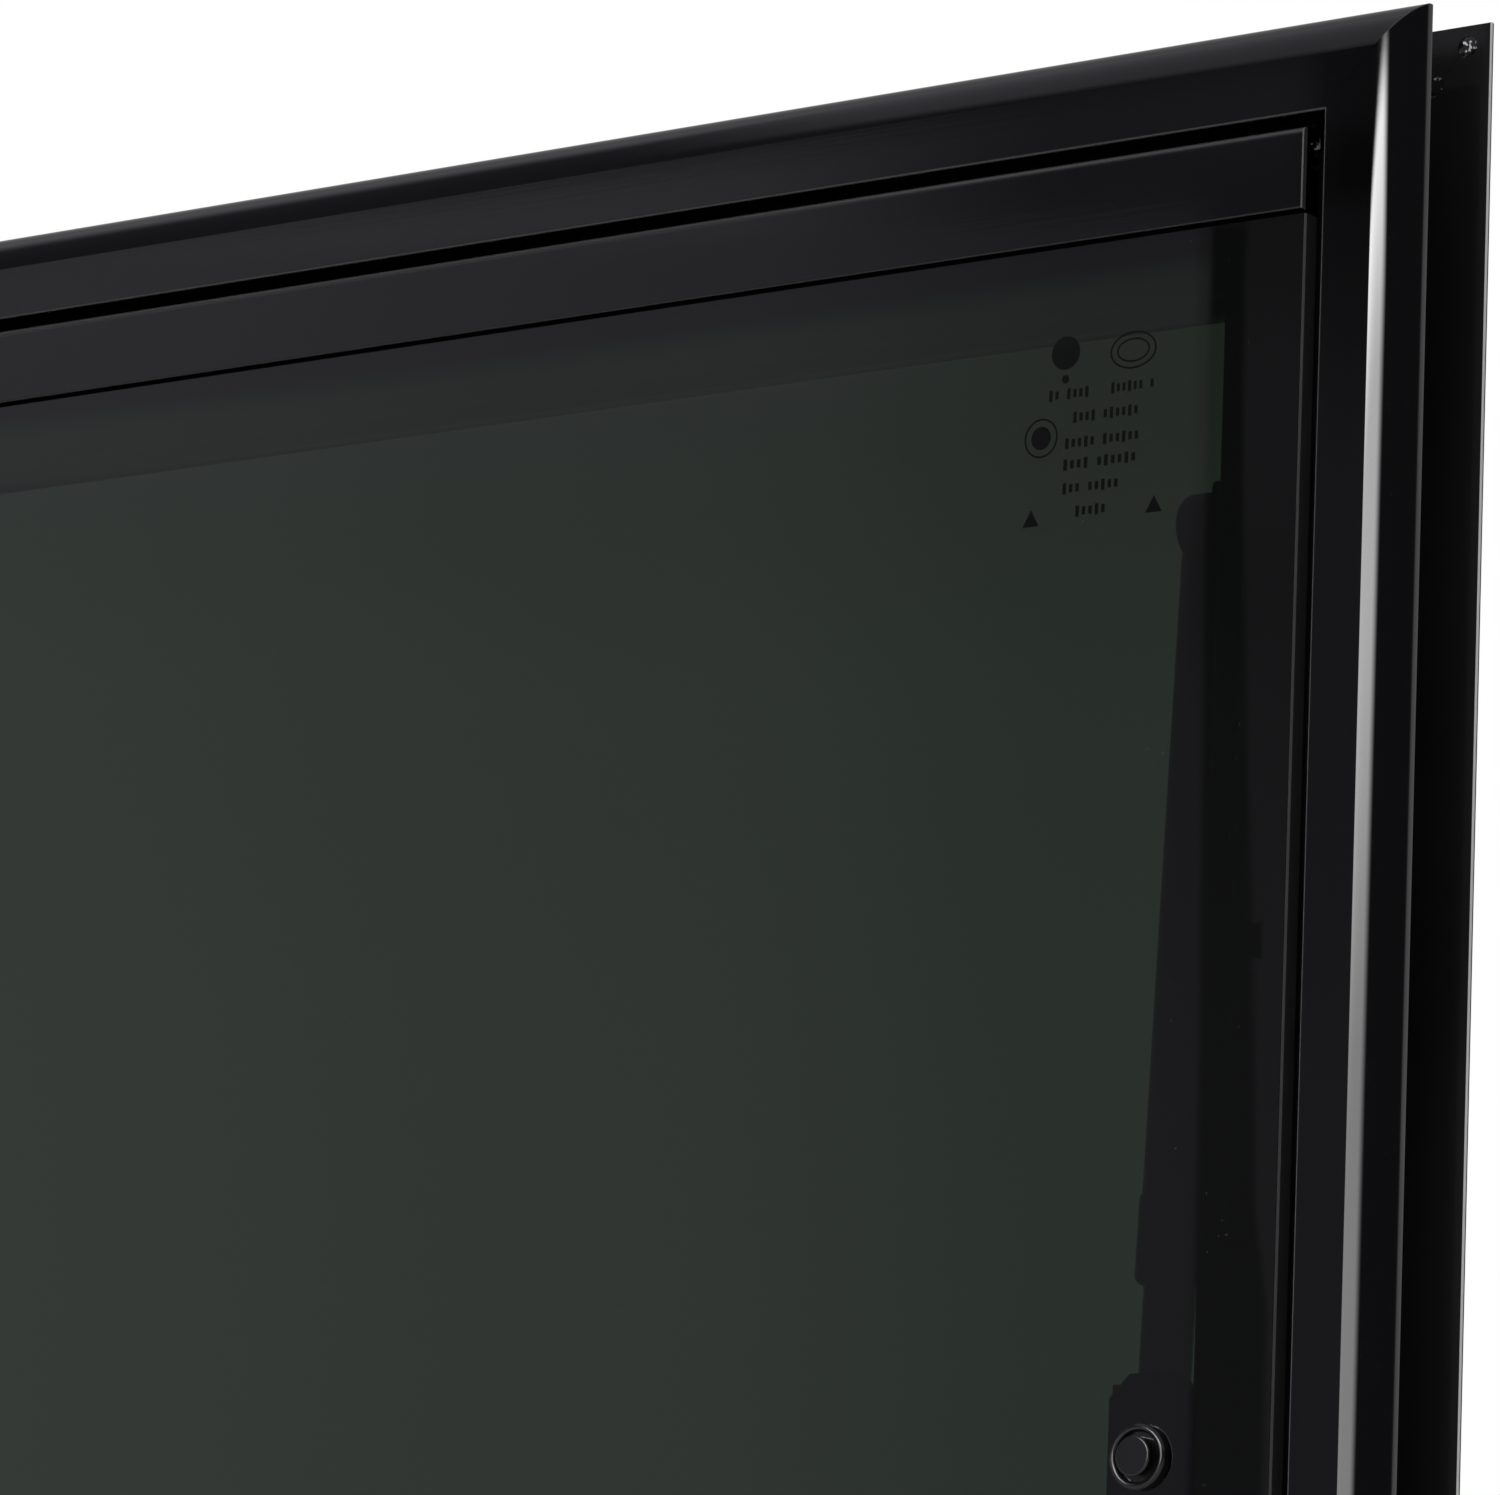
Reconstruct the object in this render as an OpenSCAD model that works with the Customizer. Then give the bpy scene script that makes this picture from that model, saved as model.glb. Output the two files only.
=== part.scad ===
// Top-hung caravan window: a mitred aluminium frame with a bull-nosed flange,
// tinted toughened glass hung from a hinge rail, telescopic stays and an inner clamp ring.
// Seen from outside, X runs to the right, Y into the caravan and Z up. Sizes in millimetres.
// Y = 0 is the outer skin of the wall. Profile drawings use u, the distance in from the outer edge.

/* [Window] */
// Overall width over the outer flange
window_w = 900; // [600:10:1600]
// Overall height over the outer flange
window_h = 500; // [450:10:900]
// Thickness of the wall between flange and clamp ring
wall_t = 17.5; // [17.5:0.5:30]

/* [Outer frame] */
// Depth of the flat front face in front of the wall skin
face_h = 6.8; // [6:0.2:8]
// Width of the flange as seen from the front
face_w = 19.4; // [18:0.2:22]
// Width of the bull nose before the face turns flat
nose_w = 8.4; // [7:0.1:8.8]
// Radius of the bull nose
nose_r = 9; // [9:0.1:11]
// Width of the flange back that lies on the wall skin
seat_w = 12.5; // [11:0.5:13.5]
// Wall thickness of the extrusion
profile_t = 1.6; // [1.2:0.1:2]
// Depth of the sash landing behind the wall skin
landing_y = 6; // [6:0.1:6.6]
// Width of the landing inwards of the seal
landing_in = 10; // [8:0.5:14]
// Joint left at each mitre face
mitre_gap = 0.05; // [0.02:0.01:0.2]

/* [Glass] */
// Thickness of the toughened glass
glass_t = 4; // [3:0.5:5]
// Gap between the frame lip and the edge of the glass
glass_gap = 4.9; // [4:0.1:5.5]
// How far the glass sits behind the front face
glass_drop = 1.9; // [1.6:0.1:2.4]
// Corner radius of the glass
glass_corner_r = 2; // [1:0.5:4]
// Width of the ground arris along the glass edges
arris = 0.5; // [0.3:0.1:0.8]

/* [Hinge rail] */
// Height of the hinge rail's front leg
rail_h = 16; // [15:0.5:18]
// Gap between the frame lip and the top of the rail
rail_gap = 2.4; // [2:0.1:3]
// Thickness of the rail legs
rail_t = 1.2; // [1:0.1:1.4]
// Radius of the hinge bead
bead_r = 1; // [0.9:0.1:1.1]

/* [Seals] */
// Width of the seal under the glass edge
seal_w = 14; // [12:0.5:16]
// Gap between the glass and the resting seal
seal_gap = 0.3; // [0.2:0.1:0.6]

/* [Stays] */
// Distance of the stay axis from the inner edge of the frame
stay_in = 8.5; // [8.5:0.1:12]
// Upper pivot below the top edge
stay_top = 91.5; // [80:0.5:110]
// Lower pivot below the top edge
stay_low = 263; // [250:1:300]
// Depth of the upper pivot behind the wall skin
stay_top_y = 18.7; // [18:0.1:19.4]
// Depth of the lower pivot behind the wall skin
stay_low_y = 9.6; // [9:0.1:10.2]
// Outer diameter of the stay tube
tube_d = 12.6; // [12:0.1:12.8]
// Length of rod that shows between the collar and the lower pivot
rod_out = 24; // [18:0.5:60]
// Radius of the rounded head
head_r = 6.8; // [6.6:0.1:7.2]
// Diameter of the collar
collar_d = 13.6; // [13.2:0.1:14.2]
// Length of the collar
collar_len = 17; // [14:1:20]
// Diameter of the sliding rod
rod_d = 10; // [8:0.2:10.2]

/* [Glass bolts] */
// Stay bolt outwards of the stay axis
bolt_off = 4.3; // [3.5:0.1:5]
// Stay bolt below the lower pivot
bolt_drop = 10; // [9.5:0.5:14]
// Diameter of the bolt washer outside the glass
washer_d = 12.6; // [11:0.2:14]
// Diameter of the button in the middle
button_d = 6.4; // [6:0.2:7]

/* [Latches] */
// Distance between the two latches
latch_pitch = 400; // [240:10:600]
// Length of the latch lever
lever_len = 58; // [45:1:70]

/* [Clamp ring] */
// How far the ring reaches past the outer flange on each side
ring_over = 1.2; // [0:0.1:3]
// Thickness of the ring
ring_t = 3; // [2.5:0.1:4]
// Screws along the top and bottom
screws_w = 7; // [4:1:9]
// Screws along each side
screws_h = 4; // [2:1:6]

/* [Hidden] */
$fn = 64;

black = [0.09, 0.09, 0.1];
rubber = [0.07, 0.08, 0.1];
plastic = [0.12, 0.12, 0.13];
tint = [0.1, 0.14, 0.12, 0.8];
steel = [0.6, 0.6, 0.62];

fit = 0.3;
far = 200;

// Heights of the outer edges; the origin lies on the bottom flange, half way up its seat
z_bot = -seat_w / 2;
z_top = z_bot + window_h;
z_mid = (z_top + z_bot) / 2;

// Rounding of the lip beside the gap, and the step in the flange back that takes the reveal
lip_r = 1.2;
back_step = 0.4;

// Glass and rail
glass_y = glass_drop - face_h;
glass_back = glass_y + glass_t;
glass_u = face_w + glass_gap;
glass_w = window_w - 2 * glass_u;
rail_u = face_w + rail_gap;
hook_wall = 0.8;
hook_r = bead_r + fit + hook_wall;
hook_u = rail_u + hook_r;
hook_y = glass_y + hook_r - 0.1;
bridge_u = hook_u + hook_r + 1;
bridge_t = 1.4;
glass_top_u = bridge_u + bridge_t + fit;
back_leg_h = 8;
hinge_end = 3.7;

// Seal and its keeper
seal_in = 0.7;
seal_cut = 0.15;
seal_u = glass_u + seal_in;
keeper_u = seal_u + seal_w / 2;
keeper_w = 6.4;
keeper_t = 1;
keeper_h = 2.4;
keeper_hook = 1.1;

// Inner leg and clamp ring
frame_w = seal_u + seal_w + landing_in;
leg_short = 1;
leg_end = wall_t - leg_short;
port_off = 2;
port_u = keeper_u + port_off;
port_gap = 2.6;
port_t = 1.4;
port_h = leg_end - landing_y - profile_t - 2;
ring_leg_u = frame_w + fit;
ring_leg_t = 1.6;
ring_leg_h = 3.2;
ring_w = ring_over + ring_leg_u + ring_leg_t;
ring_y = wall_t;
screw_groove = 0.8;
groove_w = 9;

// Stay line, leaning out towards the glass
stay_u = frame_w + stay_in;
bolt_u = stay_u - bolt_off;
stay_x = window_w / 2 - stay_u;
bolt_x = window_w / 2 - bolt_u;
plate_t = 2;
stay_run = stay_low - stay_top;
stay_lean = atan((stay_top_y - stay_low_y) / stay_run);
stay_len = sqrt(stay_run * stay_run + pow(stay_top_y - stay_low_y, 2));
tube_len = stay_len - head_r - fit - collar_len - rod_out;
pin_r = 2;
ear_t = 1.4;
ear_u = ring_leg_u + ring_leg_t + fit;
head_u = ear_u + ear_t + fit;
head_shift = 0.5;
head_w = 2 * (stay_u + head_shift - head_u);
bolt_z = z_top - stay_low - bolt_drop;
bolt_hole_r = 3.2;
stem_r = 2.6;
nut_r = 4.4;
nut_h = 2.2;

// Latches
latch_rise = 26;
latch_x = latch_pitch / 2;
latch_bolt_z = z_bot + frame_w + latch_rise;
latch_y = glass_back;
keeper_back = ring_y - ring_leg_h - 0.4;

// Bars

// A straight bar along X with its outer edge at Z = 0; the profile is drawn with x = u, y = Y
module bar(len) {
    rotate([0, -90, 0])
        linear_extrude(height = len, center = true)
            children();
}

// The bar cut to 45 degrees at both ends
module mitred(len, depth, gap) {
    reach = len / 2 - gap;
    intersection() {
        bar(len) children();
        rotate([90, 0, 0])
            linear_extrude(height = far, center = true)
                polygon([[-reach, 0], [reach, 0], [reach - depth, depth], [depth - reach, depth]]);
    }
}

// Places a bar on one of the four sides of a rectangle w by h
module on_bottom(h) {
    translate([0, 0, z_mid - h / 2]) children();
}

module on_top(h) {
    translate([0, 0, z_mid + h / 2]) mirror([0, 0, 1]) children();
}

module on_left(w) {
    translate([-w / 2, 0, z_mid]) rotate([0, 90, 0]) children();
}

module on_right(w) {
    mirror([1, 0, 0]) on_left(w) children();
}

// Outer frame

// Outline of the hollow flange, grown inwards by t for its chamber
module flange_outline(t) {
    r = lip_r;
    // bull nose
    intersection() {
        translate([nose_w, nose_r - face_h]) circle(r = nose_r - t, $fn = 128);
        translate([0, t - face_h]) square([nose_w, face_h - 2 * t]);
    }
    // flat face up to the rounded lip
    translate([nose_w - 0.1, t - face_h]) square([face_w - nose_w - r + 0.1, face_h - 2 * t]);
    if (t == 0) {
        translate([face_w - r, r - face_h]) circle(r = r, $fn = 48);
        translate([face_w - r - 0.1, r - face_h]) square([r + 0.1, face_h - r]);
    }
}

// Hooked ribs that hold the foot of a seal
module keeper() {
    for (side = [-1, 1]) {
        translate([keeper_u, landing_y]) scale([side, 1]) {
            translate([keeper_w / 2 - keeper_t, -keeper_h]) square([keeper_t, keeper_h + 0.2]);
            translate([keeper_w / 2 - keeper_t - keeper_hook, -keeper_h]) square([keeper_hook + 0.2, 0.8]);
        }
    }
}

// Hollow cover flange with the bull nose, in front of the wall skin
module cover_section() {
    rib_u = (nose_w + face_w) / 2 - profile_t * 2;
    difference() {
        flange_outline(0);
        intersection() {
            flange_outline(profile_t);
            translate([0, -face_h]) square([face_w - profile_t, face_h]);
        }
        // seat of the reveal box
        translate([seat_w, -back_step]) square([face_w, back_step + 1]);
    }
    translate([rib_u, 0.2 - face_h]) square([profile_t * 0.7, face_h - 0.4]);
}

// Box beside the wall cut-out, landing for the sash and the leg that runs into the caravan
module reveal_section() {
    difference() {
        union() {
            translate([seat_w, -back_step]) square([face_w - seat_w, back_step + landing_y + profile_t]);
            translate([seat_w, landing_y]) square([frame_w - seat_w - profile_t, profile_t]);
            translate([frame_w - profile_t, landing_y + profile_t]) circle(r = profile_t, $fn = 48);
            translate([frame_w - profile_t, landing_y + profile_t]) square([profile_t, leg_end - landing_y - profile_t]);
            // two walls of the screw port
            for (side = [-1, 1])
                translate([port_u + side * (port_gap + port_t) / 2 - port_t / 2, landing_y + profile_t - 0.1])
                    square([port_t, port_h + 0.1]);
            keeper();
        }
        translate([seat_w + profile_t, profile_t - back_step])
            square([face_w - seat_w - 2 * profile_t, landing_y - profile_t + back_step]);
    }
}

module frame_top() {
    color(black) on_top(window_h) mitred(window_w, frame_w, mitre_gap) cover_section();
}

module frame_bottom() {
    color(black) on_bottom(window_h) mitred(window_w, frame_w, mitre_gap) cover_section();
}

module frame_left() {
    color(black) on_left(window_w) mitred(window_h, frame_w, mitre_gap) cover_section();
}

module frame_right() {
    color(black) on_right(window_w) mitred(window_h, frame_w, mitre_gap) cover_section();
}

module reveal_top() {
    color(black) on_top(window_h) mitred(window_w, frame_w + 1, mitre_gap) reveal_section();
}

// The bottom bar drains through slots between lip and seal
module reveal_bottom() {
    slot_l = 18;
    slot_w = 2.4;
    color(black)
        difference() {
            on_bottom(window_h) mitred(window_w, frame_w + 1, mitre_gap) reveal_section();
            for (x = [-0.36, -0.12, 0.12, 0.36])
                translate([x * window_w, landing_y - 1, z_bot + face_w + slot_w])
                    rotate([-90, 0, 0])
                        linear_extrude(height = profile_t + 2)
                            rounded_plate(slot_l, slot_w, slot_w / 2 - 0.01);
        }
}

module reveal_left() {
    color(black) on_left(window_w) mitred(window_h, frame_w + 1, mitre_gap) reveal_section();
}

module reveal_right() {
    color(black) on_right(window_w) mitred(window_h, frame_w + 1, mitre_gap) reveal_section();
}

// Clamp ring

ring_box_w = window_w + 2 * ring_over;
ring_box_h = window_h + 2 * ring_over;
ring_port_u = port_u + ring_over;
pin_u = [4.6, 11.6];
pin_hole_r = 2.1;
screw_hole_r = 2;

module ring_section() {
    difference() {
        union() {
            translate([ring_t / 2, ring_y + ring_t / 2]) circle(r = ring_t / 2, $fn = 48);
            translate([ring_t / 2, ring_y]) square([ring_w - ring_t / 2 - ring_leg_t, ring_t]);
            // rounded inner edge and the short leg over the frame
            translate([ring_w - ring_leg_t, ring_y + ring_t - ring_leg_t]) circle(r = ring_leg_t, $fn = 48);
            translate([ring_w - ring_leg_t - 0.2, ring_y]) square([ring_leg_t + 0.2, ring_t - ring_leg_t]);
            translate([ring_w - ring_leg_t, ring_y - ring_leg_h]) square([ring_leg_t, ring_leg_h + 0.2]);
        }
        // shallow channel for the screw heads
        translate([ring_port_u - groove_w / 2, ring_y + ring_t - screw_groove]) square([groove_w, screw_groove + 1]);
    }
}

// Screw places along a side of length len, at equal steps
screw_margin = 60;
function screw_places(len, n) = [for (i = [0 : n - 1]) (i - (n - 1) / 2) * (len - 2 * screw_margin) / (n - 1)];

module ring_bar(len, n) {
    difference() {
        mitred(len, ring_w + 1, mitre_gap) ring_section();
        for (x = screw_places(len, n))
            translate([x, ring_y - 1, ring_port_u])
                rotate([-90, 0, 0]) cylinder(h = ring_t + 2, r = screw_hole_r, $fn = 32);
        for (side = [-1, 1], u = pin_u)
            translate([side * (len / 2 - u), ring_y - 1, u])
                rotate([-90, 0, 0]) cylinder(h = ring_t + 2, r = pin_hole_r, $fn = 32);
    }
}

module clamp_top() {
    color(black) on_top(ring_box_h) ring_bar(ring_box_w, screws_w);
}

module clamp_bottom() {
    color(black) on_bottom(ring_box_h) ring_bar(ring_box_w, screws_w);
}

module clamp_left() {
    color(black) on_left(ring_box_w) ring_bar(ring_box_h, screws_h);
}

module clamp_right() {
    color(black) on_right(ring_box_w) ring_bar(ring_box_h, screws_h);
}

screw_head_r = 3.3;
screw_head_h = 1.9;
screw_grip = 5;
screw_dome_r = 5;
screw_dome_in = 0.6;
screw_play = 0.2;

// Pan-head screw pointing out of the caravan, its head seated at Y = 0
module screw() {
    rotate([90, 0, 0]) {
        translate([0, 0, -screw_head_h])
            difference() {
                intersection() {
                    cylinder(h = screw_head_h, r = screw_head_r, $fn = 32);
                    translate([0, 0, screw_dome_r - screw_dome_in]) sphere(r = screw_dome_r, $fn = 48);
                }
                for (turn = [0, 90])
                    rotate([0, 0, turn])
                        translate([-screw_head_r / 2, -0.4, -0.1]) cube([screw_head_r, 0.8, screw_head_h / 2]);
            }
        cylinder(h = ring_t - screw_groove + screw_grip, r = port_gap / 2 - screw_play, $fn = 24);
    }
}

module clamp_screws() {
    seat_y = ring_y + ring_t - screw_groove;
    color(black) {
        for (x = screw_places(ring_box_w, screws_w)) {
            translate([x, seat_y, z_top - port_u]) screw();
            translate([x, seat_y, z_bot + port_u]) screw();
        }
        for (z = screw_places(ring_box_h, screws_h), side = [-1, 1])
            translate([side * (window_w / 2 - port_u), seat_y, z_mid + z]) screw();
    }
}

// Pin pressed into the mitre, fluted so that it grips
module corner_pin() {
    rotate([-90, 0, 0])
        linear_extrude(height = ring_t - 0.4)
            difference() {
                circle(r = pin_hole_r - 0.1, $fn = 48);
                for (turn = [40, 115, 200])
                    rotate(turn) translate([pin_hole_r - 0.3, 0]) circle(r = 0.65, $fn = 24);
            }
}

module clamp_corner_pins() {
    color(black)
        for (side = [0, 1], end = [0, 1], u = pin_u)
            mirror([side, 0, 0])
                translate([ring_box_w / 2 - u, ring_y + 0.2, z_mid])
                    mirror([0, 0, end])
                        translate([0, 0, ring_box_h / 2 - u]) corner_pin();
}

// Hinge

hinge_len = glass_w - 2 * hinge_end;
notch_len = window_w - 2 * (seal_u + seal_w + 2 * fit);

// Bead on a web and foot, fixed to the landing of the top frame bar
module frame_hinge() {
    foot_w = 6.6;
    foot_t = 1;
    color(black)
        on_top(window_h)
            bar(hinge_len) {
                translate([hook_u, hook_y]) circle(r = bead_r, $fn = 48);
                translate([hook_u + 0.1, hook_y]) square([bead_r - 0.1, landing_y - foot_t / 2 - hook_y]);
                translate([face_w + 2 * fit, landing_y - foot_t]) square([foot_w, foot_t]);
            }
}

// Front leg, hook and bridge of the rail
module rail_section() {
    top_r = rail_t - 0.1;
    low_r = 0.4;
    front_y = glass_y - rail_t;
    low_u = rail_u + rail_h;
    difference() {
        union() {
            translate([rail_u + top_r, front_y]) square([rail_h - top_r - low_r, rail_t]);
            translate([rail_u, front_y + top_r]) square([rail_h, rail_t - top_r]);
            translate([low_u - low_r - 0.1, front_y + low_r]) square([low_r + 0.1, rail_t - low_r]);
            translate([rail_u + top_r, front_y + top_r]) circle(r = top_r, $fn = 48);
            translate([low_u - low_r, front_y + low_r]) circle(r = low_r, $fn = 32);
            translate([hook_u, hook_y]) circle(r = hook_r, $fn = 64);
            translate([bridge_u, glass_y - 0.2]) square([bridge_t, glass_t + 0.2]);
        }
        translate([hook_u, hook_y]) circle(r = bead_r + fit, $fn = 48);
        translate([hook_u - 0.2, hook_y]) square([hook_r + 0.3, hook_r + 0.2]);
    }
}

// Back leg behind the glass, stopped short of the side seals
module rail_back_section() {
    translate([bridge_u, glass_back - 0.6]) square([bridge_t, 0.8]);
    translate([bridge_u, glass_back]) square([back_leg_h - rail_t / 2, rail_t]);
    translate([bridge_u + back_leg_h - rail_t / 2, glass_back + rail_t / 2]) circle(r = rail_t / 2, $fn = 32);
}

module hinge_rail() {
    color(black)
        on_top(window_h) {
            bar(glass_w) rail_section();
            bar(notch_len) rail_back_section();
        }
}

// Glass

module rounded_plate(w, h, r) {
    square([w - 2 * r, h], center = true);
    square([w, h - 2 * r], center = true);
    for (sx = [-1, 1], sz = [-1, 1])
        translate([sx * (w / 2 - r), sz * (h / 2 - r)]) circle(r = r, $fn = 48);
}

// Wedge that grinds the arris off an edge of length len along X, at the origin
module arris_cut(len) {
    rotate([90, 0, 90])
        linear_extrude(height = len + 2, center = true)
            polygon([[-1, arris + 1], [arris + 1, -1], [-1, -1]]);
}

module glass_pane() {
    glass_h = window_h - glass_top_u - glass_u;
    glass_mid = z_bot + glass_u + glass_h / 2;
    color(tint)
        difference() {
            translate([0, glass_back, glass_mid])
                rotate([90, 0, 0])
                    linear_extrude(height = glass_t)
                        rounded_plate(glass_w, glass_h, glass_corner_r);
            for (side = [-1, 1]) {
                translate([side * bolt_x, glass_y - 1, bolt_z])
                    rotate([-90, 0, 0]) cylinder(h = glass_t + 2, r = bolt_hole_r, $fn = 48);
                translate([side * latch_x, glass_y - 1, latch_bolt_z])
                    rotate([-90, 0, 0]) cylinder(h = glass_t + 2, r = bolt_hole_r, $fn = 48);
            }
            translate([0, glass_y, glass_mid]) {
                for (turn = [0, 180])
                    rotate([0, turn, 0]) {
                        translate([0, 0, -glass_h / 2]) arris_cut(glass_w);
                        translate([-glass_w / 2, 0, 0]) rotate([0, 90, 0]) arris_cut(glass_h);
                    }
            }
        }
}

// Seals

crown_y = glass_back + seal_gap;
crown_end = landing_y - keeper_h - 0.4;

module seal_foot() {
    translate([keeper_u - 0.8, crown_end - 0.2]) square([1.6, landing_y - crown_end]);
    translate([keeper_u - 1.8, landing_y - 1.1]) square([3.6, 1.1]);
}

// Crown with two air bores, pressed by the glass
module seal_section() {
    crown_h = crown_end - crown_y;
    r = crown_h / 2;
    difference() {
        union() {
            for (u = [seal_u + r, seal_u + seal_w - r])
                translate([u, crown_y + r]) circle(r = r, $fn = 48);
            translate([seal_u + r, crown_y]) square([seal_w - 2 * r, crown_h]);
        }
        for (side = [-1, 1])
            translate([keeper_u + side * seal_w / 4, crown_y + r]) circle(r = r - 0.9, $fn = 32);
    }
    seal_foot();
}

// The strip under the hinge rail is lower, since it meets the rail's back leg
module seal_top_section() {
    top_y = glass_back + rail_t + seal_gap;
    translate([bridge_u + 1, top_y]) square([seal_u + seal_w - bridge_u - 1, crown_end - top_y]);
    seal_foot();
}

module seal_top() {
    color(rubber) on_top(window_h) mitred(window_w, frame_w, seal_cut) seal_top_section();
}

module seal_bottom() {
    color(rubber) on_bottom(window_h) mitred(window_w, frame_w, seal_cut) seal_section();
}

module seal_left() {
    color(rubber) on_left(window_w) mitred(window_h, frame_w, seal_cut) seal_section();
}

module seal_right() {
    color(rubber) on_right(window_w) mitred(window_h, frame_w, seal_cut) seal_section();
}

// Stays

// Builds on the right-hand side, mirrored for the left
module sided(side) {
    if (side > 0) children();
    else mirror([1, 0, 0]) children();
}

eye_w = 6.4;
eye_r = 4.6;
ear_r = 4.2;
low_pin_r = 1.5;

// Local frame of the stay: origin on the upper pivot, -Z down the stay
module along_stay() {
    translate([stay_x, stay_top_y, z_top - stay_top])
        rotate([-stay_lean, 0, 0])
            children();
}

// Cylinder along X, centred, with rounded rims
module rounded_drum(w, r, rim) {
    rotate([0, 90, 0])
        rotate_extrude($fn = 64) {
            translate([0, -w / 2]) square([r - rim, w]);
            translate([0, rim - w / 2]) square([r, w - 2 * rim]);
            for (s = [-1, 1])
                translate([r - rim, s * (w / 2 - rim)]) circle(r = rim, $fn = 32);
        }
}

// Base on the inner leg of the frame, an ear past the ring's leg, and the pivot pin
module stay_bracket(side) {
    edge_x = window_w / 2;
    base_t = ear_u - frame_w + 0.1;
    base_y = landing_y + profile_t + 0.2;
    base_end = ring_y - ring_leg_h - fit;
    base_len = 28;
    base_drop = 7.4;
    pin_end = head_u + head_w + fit;
    color(black)
        sided(side)
            translate([0, 0, z_top - stay_top]) {
                translate([edge_x - frame_w - base_t, (base_y + base_end) / 2, -base_drop])
                    rotate([0, 90, 0])
                        linear_extrude(height = base_t)
                            rounded_plate(base_len, base_end - base_y, 2);
                translate([edge_x - ear_u - ear_t, 0, 0])
                    rotate([0, 90, 0])
                        linear_extrude(height = ear_t) {
                            translate([0, stay_top_y]) circle(r = ear_r, $fn = 48);
                            translate([-ear_r, base_y + 1]) square([2 * ear_r, stay_top_y - base_y - 1]);
                        }
                translate([edge_x - pin_end - 0.1, stay_top_y, 0])
                    rotate([0, 90, 0]) cylinder(h = pin_end - ear_u - ear_t / 2, r = pin_r, $fn = 32);
                translate([edge_x - pin_end - 1.2, stay_top_y, 0])
                    rotate([0, 90, 0]) cylinder(h = 1.2, r = pin_r * 1.6, $fn = 32);
            }
}

module stay_tube(side) {
    neck = 1;
    color(plastic)
        sided(side)
            along_stay()
                difference() {
                    union() {
                        translate([window_w / 2 - stay_x - head_u - head_w / 2, 0, 0])
                            rounded_drum(head_w, head_r, 1.6);
                        translate([0, 0, -head_r - tube_len])
                            cylinder(h = tube_len + neck, r = tube_d / 2, $fn = 64);
                    }
                    rotate([0, 90, 0]) cylinder(h = 4 * head_w, r = pin_r + fit, center = true, $fn = 32);
                    translate([0, 0, -head_r - tube_len - 1])
                        cylinder(h = tube_len * 0.9, r = rod_d / 2 + fit, $fn = 48);
                }
}

// Half section of the collar, rounded more at its lower rim
module collar_outline(r) {
    low = 1.5;
    high = 0.8;
    translate([0, low]) square([r, collar_len - low - high]);
    square([r - low, collar_len]);
    translate([r - low, low]) circle(r = low, $fn = 32);
    translate([r - high, collar_len - high]) circle(r = high, $fn = 32);
}

// Turned grip that locks the rod
module stay_collar(side) {
    r = collar_d / 2;
    top = -head_r - tube_len - fit;
    flute_r = 0.7;
    flute_end = 3;
    color(plastic)
        sided(side)
            along_stay()
                difference() {
                    translate([0, 0, top - collar_len])
                        rotate_extrude($fn = 64)
                            collar_outline(r);
                    translate([0, 0, top - collar_len - 1]) cylinder(h = collar_len + 2, r = rod_d / 2 + fit, $fn = 48);
                    for (turn = [0 : 30 : 330])
                        rotate([0, 0, turn])
                            translate([r + flute_r / 2, 0, top - collar_len + flute_end])
                                cylinder(h = collar_len - 2 * flute_end, r = flute_r, $fn = 16);
                }
}

module stay_rod(side) {
    rod_top = -head_r - tube_len / 5;
    shoulder = ear_r + 0.8;
    tongue_d = 7.6;
    color(black)
        sided(side)
            along_stay()
                difference() {
                    union() {
                        translate([0, 0, shoulder - stay_len])
                            cylinder(h = stay_len + rod_top - shoulder, r = rod_d / 2, $fn = 48);
                        translate([-eye_w / 2, -tongue_d / 2, -stay_len])
                            cube([eye_w, tongue_d, shoulder + 1]);
                        translate([0, 0, -stay_len]) rounded_drum(eye_w, eye_r, 0.6);
                    }
                    translate([0, 0, -stay_len])
                        rotate([0, 90, 0]) cylinder(h = 4 * eye_w, r = low_pin_r + fit, center = true, $fn = 32);
                }
}

// Plate bolted through the glass, with two ears for the rod
module glass_bracket(side) {
    plate_h = 35;
    plate_top = z_top - stay_low + 6;
    c = 4.4;
    w = 19.6;
    ear_in = eye_w / 2 + fit;
    shift = 0.6;
    color(black)
        sided(side) {
            difference() {
                translate([bolt_x + shift, glass_back + plate_t, plate_top - plate_h])
                    rotate([90, 0, 0])
                        linear_extrude(height = plate_t)
                            polygon([
                                [-w / 2, c], [c - w / 2, 0], [w / 2 - c, 0], [w / 2, c],
                                [w / 2, plate_h - c], [w / 2 - c, plate_h], [c - w / 2, plate_h], [-w / 2, plate_h - c]
                            ]);
                translate([bolt_x, glass_back - 1, bolt_z])
                    rotate([-90, 0, 0]) cylinder(h = plate_t + 2, r = stem_r + fit, $fn = 48);
            }
            for (s = [-1, 1])
                translate([stay_x + s * (ear_in + ear_t / 2) - ear_t / 2, 0, z_top - stay_low])
                    rotate([0, 90, 0])
                        linear_extrude(height = ear_t) {
                            translate([0, stay_low_y]) circle(r = ear_r, $fn = 48);
                            translate([-ear_r, glass_back + 1]) square([2 * ear_r, stay_low_y - glass_back - 1]);
                        }
            translate([stay_x - ear_in - ear_t - 0.6, stay_low_y, z_top - stay_low])
                rotate([0, 90, 0]) cylinder(h = 2 * (ear_in + ear_t + 0.6), r = low_pin_r, $fn = 32);
        }
}

// Bolts through the glass

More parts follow.
